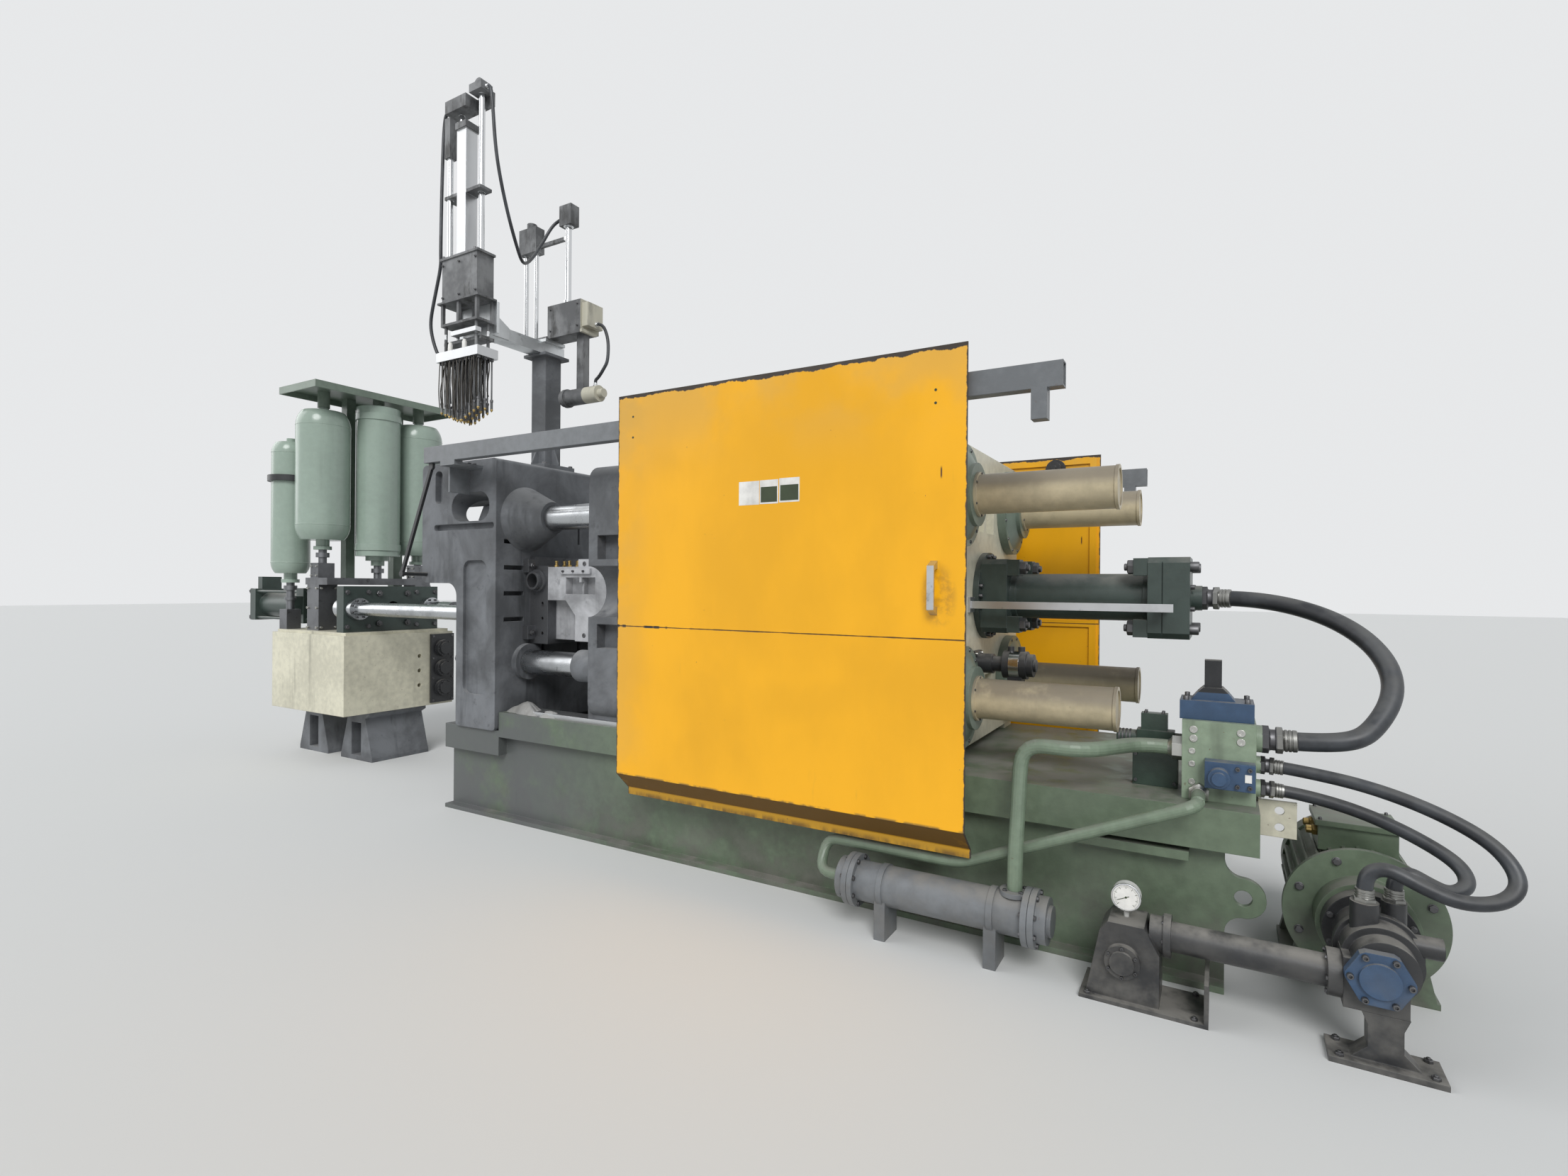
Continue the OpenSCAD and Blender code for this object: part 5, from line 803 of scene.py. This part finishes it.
def fit_sprayer(bolt, brass, tube, white, steel):
    """Nozzle tips and union nuts, the bundle of thin tubes, two small cylinders, hose fittings and screws."""
    head, low = (-0.20, -0.80), 2.56
    offsets = np.arange(-0.18, 0.19, 0.04)
    tips, nuts = [], []
    tip = turned([(-0.001, 0.0085), (0.006, 0.0085), (0.012, 0.004), (0.015, 0.0035)], 12)
    nut = turned([(-0.002, 0.011, 6), (0.014, 0.011, 6), (0.016, 0.008)], 12)
    for y in (-0.05, 0.0, 0.05):
        row = np.array([(head[0] + x, head[1] + y, low + abs(x) * 0.4) for x in offsets])
        tips.append(spread(tip, row, DOWN))
        nuts.append(spread(nut, [(head[0] + x, head[1] + y, 2.954) for x in offsets], DOWN))
        nuts.append(spread(nut, row + (0, 0, 0.05), UP, 0.85))
    build("nozzle_tips", tips, brass)
    build("nozzle_nuts", nuts, bolt)
    tubes = []
    for k in range(54):
        x = -0.19 + 0.38 * (k % 18 + 0.5) / 18
        y = (-0.066, -0.026, 0.026)[k // 18] + 0.006 * math.sin(k * 2.3)
        lean = 0.010 * math.sin(k * 1.7)
        end = 2.60 + 0.06 * math.sin(k * 3.1) + abs(x) * 0.35
        bends = [(x + lean, y - 0.004, 2.88), (x - lean, y - 0.008, 2.76), (x - lean * 0.4, y, end)]
        tubes.append(swept(curve(np.array([(x, y, 2.956), *bends]) + (*head, 0), 5), 0.0033, 6))
    build("sprayer_tubes", tubes, tube)
    pot = turned([(-0.001, 0.015), (0.046, 0.015), (0.052, 0.011), (0.060, 0.011)], 20)
    pots = grid((head[0] - 0.09, head[0] + 0.05), head[1] - 0.055, 3.014)
    build("sprayer_pots", [spread(pot, pots)], white)
    ends = [
        spread(FERRULE, [TOWER_ROUTE[0], TOWER_ROUTE[-1], LIFT_ROUTE[-1]], LEFT, AIR_RADIUS),
        spread(FERRULE, [LIFT_ROUTE[0], GRIP_ROUTE[0]], RIGHT, AIR_RADIUS),
        spread(FERRULE, [GRIP_ROUTE[-1]], UP, AIR_RADIUS),
    ]
    build("sprayer_fittings", ends, steel)
    bolts = [
        spread(CAP_SCREW, grid((-0.355, -0.05), (-0.86, -0.75), 3.629), UP, 0.008),
        spread(CAP_SCREW, grid((-0.36, -0.20, -0.04), -0.86, (3.37, 3.58)), FRONT, 0.007),
        spread(HEX_BOLT, grid((-0.30, -0.06), (-0.275, -0.035), 2.36), UP, 0.013),
        spread(CAP_SCREW, grid((-0.255, -0.105), (-0.23, -0.08), 3.25), UP, 0.009),
        spread(CAP_SCREW, grid((-0.07, 0.19), -0.221, (3.30, 3.45)), FRONT, 0.006),
    ]
    build("sprayer_screws", bolts, bolt)


def fit_clamp(bolt, zinc, brass, white):
    """Caps on the toggle's pins, couplings on the dies, bolts of die clamps and rails, a valve's plate."""
    caps, screws = [], []
    cap = turned([(-0.001, 0.036), (0.006, 0.036), (0.008, 0.034)], 28)
    for x, rise, reach in ((1.30, 0.33, 0.336), (2.48, 0.33, 0.336), (1.89, 0.342, 0.342)):
        for way in (FRONT, BACK):
            for z in (AXIS_Z - rise, AXIS_Z + rise):
                caps.append(spread(cap, [(x, way[1] * reach, z)], way))
                ring = circle(3, 0.022, (x, way[1] * (reach + 0.007), z), "Y")
                screws.append(spread(CAP_SCREW, ring, way, 0.006))
    build("toggle_pin_caps", caps, zinc)
    build("toggle_pin_screws", screws, bolt)
    barb = [(0.014, 0.009), (0.030, 0.009), (0.032, 0.011), (0.040, 0.011), (0.042, 0.008)]
    nipple = turned([(-0.002, 0.013, 6), (0.012, 0.013, 6), *barb], 12)
    tops = [*grid((0.20, 0.32, 0.40), (-0.40, -0.33), 1.632), (0.52, -0.40, 1.68), (0.58, -0.33, 1.68)]
    build("die_couplings", [spread(nipple, tops)], brass)
    fronts = grid((0.50, 0.56), -0.445, (1.65, 1.19))
    bolts = [
        spread(PLUG, fronts, FRONT, 0.012),
        spread(CAP_SCREW, grid((0.33, 0.42, 0.51), -0.463, 1.602), FRONT, 0.0075),
        spread(STUD_NUT, grid(0.05, (-0.475, 0.475), (1.195, 1.64)), RIGHT, 0.018),
        spread(HEX_BOLT, grid((-0.25, -0.155), (-0.81, -0.77), 2.285), UP, 0.010),
    ]
    build("die_clamp_bolts", bolts, bolt)
    build("valve_plate", [slab((4.112, 4.134), (-0.6655, -0.6635), (0.792, 0.822), 0.0004)], white)


def heap(centre, reach, height, seed, rings=14, sides=48):
    """A mound on a level face. At a share t of its reach it rises to height times (1 - t squared) to the
    power of 1.4, with lumps that are a sum of nine random waves."""
    draw = np.random.default_rng(seed)
    waves = draw.uniform(-1, 1, (9, 4)) * (5, 9, 1, math.pi)
    angle = np.arange(sides) * 2 * np.pi / sides
    out = []
    for t in np.linspace(1, 0.04, rings):
        u, v = t * np.cos(angle), t * np.sin(angle)
        lumps = sum(a * np.cos(k * u * 1.3 + m * v + p) for k, m, a, p in waves) / 9
        edge = t * (1 + 0.16 * np.cos(3 * angle + seed) + 0.07 * np.cos(7 * angle))
        rise = height * (1 - t * t) ** 1.4 * (1 + 0.9 * lumps) - 0.004 * (t > 0.99)
        x, y = reach[0] * edge * np.cos(angle), reach[1] * edge * np.sin(angle)
        out.append(np.stack([x, y, rise], 1) + centre)
    return loft(out)


def fit_debris(dust):
    """Dried lubricant and flash that lie on the bed's ledge beside the dies."""
    mounds = [
        heap((0.20, -0.635, 0.69), (0.165, 0.055), 0.075, 3),
        heap((0.42, -0.645, 0.69), (0.12, 0.045), 0.040, 5),
        heap((0.30, 0.64, 0.69), (0.22, 0.05), 0.05, 8),
    ]
    build("dried_lubricant", mounds, dust)


def fit_pieces(paint):
    """Every fitting of the scene, with the finishes that only fittings have."""
    bolt = bare_metal("bolt_steel", (0.15, 0.15, 0.155), 0.45, film=0.6, seed=21, edge=0.001)
    zinc = bare_metal("zinc_plate", (0.55, 0.55, 0.52), 0.32, film=0.35, seed=22, edge=0.001)
    brass = bare_metal("brass", (0.50, 0.36, 0.14), 0.35, film=0.5, seed=23, edge=0.001)
    steel = bare_metal("polished_steel", (0.70, 0.71, 0.72), 0.16, film=0.2, seed=24, edge=0.001)
    tube = bare_metal("blackened_tube", (0.07, 0.066, 0.06), 0.5, film=0.5, seed=25, edge=0.001)
    white = enamel("white_plate", (0.72, 0.71, 0.68), 0.2, 0.3, 0.0, seed=26, edge=0.0003)
    # Dark print of the plates and the gauge, also the painted shade of the door's holes.
    panel = enamel("dark_print_and_hole_shade", (0.035, 0.050, 0.022), 0.1, 0.2, 0.0, seed=27, edge=0.0003)
    dried = dusty_casting("dried_lubricant", (0.34, 0.335, 0.32), 0.4, 29, (0.16, 0.155, 0.145))
    fit_clamp_end(bolt, zinc, steel)
    fit_power_pack(bolt, zinc, brass)
    fit_gauge(steel, white, panel)
    fit_doors(white, panel)
    fit_shot_end(bolt, zinc)
    fit_bottles(paint)
    fit_sprayer(bolt, brass, tube, white, steel)
    fit_clamp(bolt, zinc, brass, white)
    fit_debris(dried)


# Stage


def light_stage():
    """A pale floor, a pale surround and two soft lamps."""
    scene = bpy.context.scene
    scene.view_settings.view_transform = "Standard"
    world = bpy.data.worlds.new("studio")
    world.use_nodes = True
    scene.world = world
    nodes, links = world.node_tree.nodes, world.node_tree.links
    fill = nodes["Background"]
    fill.inputs["Color"].default_value = (0.93, 0.97, 1.0, 1)
    fill.inputs["Strength"].default_value = 0.42
    seen = nodes.new("ShaderNodeBackground")
    seen.inputs["Color"].default_value = (0.80, 0.81, 0.82, 1)
    path = nodes.new("ShaderNodeLightPath")
    mix = nodes.new("ShaderNodeMixShader")
    total = path.outputs["Is Camera Ray"]
    for name in ("Is Glossy Ray", "Is Transmission Ray"):
        most = nodes.new("ShaderNodeMath")
        most.operation = "MAXIMUM"
        links.new(total, most.inputs[0])
        links.new(path.outputs[name], most.inputs[1])
        total = most.outputs[0]
    links.new(total, mix.inputs[0])
    links.new(fill.outputs[0], mix.inputs[1])
    links.new(seen.outputs[0], mix.inputs[2])
    links.new(mix.outputs[0], nodes["World Output"].inputs["Surface"])
    reach = 60.0
    mesh = bpy.data.meshes.new("floor")
    corners = [(-reach, -reach, 0), (reach, -reach, 0), (reach, reach, 0), (-reach, reach, 0)]
    mesh.from_pydata(corners, [], [(0, 1, 2, 3)])
    floor = bpy.data.objects.new("floor", mesh)
    scene.collection.objects.link(floor)
    pale = Finish("pale_floor", Roughness=0.75)
    mesh.materials.append(pale.give(Base_Color=(0.66, 0.665, 0.66)))
    for name, strength, softness, turn in (
        ("key", 2.1, 30, (math.radians(52), 0, math.radians(28))),
        ("side", 0.9, 50, (math.radians(62), 0, math.radians(-70))),
    ):
        lamp = bpy.data.lights.new(name, "SUN")
        lamp.energy, lamp.angle = strength, math.radians(softness)
        thing = bpy.data.objects.new(name, lamp)
        thing.rotation_euler = turn
        scene.collection.objects.link(thing)


def dress_nodes(finishes):
    """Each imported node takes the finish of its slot; the doors and the handling units have their own."""
    slot_of = {part["node"]: part["material_slot"] for part in frame["record"]["subparts"]}
    own = {name: door_enamel(name + "_enamel", name) for name in ("front_door", "rear_door")}
    zones = [("Z", 1.105, 2.0, COIL_BLACK), ("X", 3.0, 3.89, VALVE_GREEN)]
    own["control_valves"] = enamel("valve_enamel", VALVE_BLUE, 0.7, 0.6, 0.3, seed=10, zones=zones)
    own["moving_die"] = dusty_casting("limed_die", (0.40, 0.405, 0.42), 0.5, 33, (0.15, 0.15, 0.155))
    cage = 3.629
    rods = [
        (-0.35, -0.82, 0.019, cage, 4.29),
        (-0.292, -0.78, 0.017, cage, 4.62),
        (-0.08, -0.79, 0.020, cage, 4.65),
    ]
    own["sprayer_tower"] = mechanism("sprayer_metal", rods, [(-0.205, -0.803, 0.044, cage, 4.44)])
    own["spray_head"] = mechanism("spray_head_metal", [], bands=[(2.95, 3.016), (3.104, 3.136)])
    rods = [
        (-0.395, -0.155, 0.017, 3.27, 3.92),
        (-0.29, -0.155, 0.017, 3.27, 3.92),
        (0.032, -0.155, 0.032, 3.48, 4.04),
    ]
    own["extractor"] = mechanism("extractor_metal", rods, cream=0.2195)
    for name, node in frame["nodes"].items():
        for place in node.material_slots:
            place.material = own.get(name) or finishes[slot_of[name]]


place_camera()
light_stage()
finishes = make_finishes()
dress_nodes(finishes)
add_hoses(finishes["hose_rubber"])
fit_pieces(finishes["bottle_paint"])
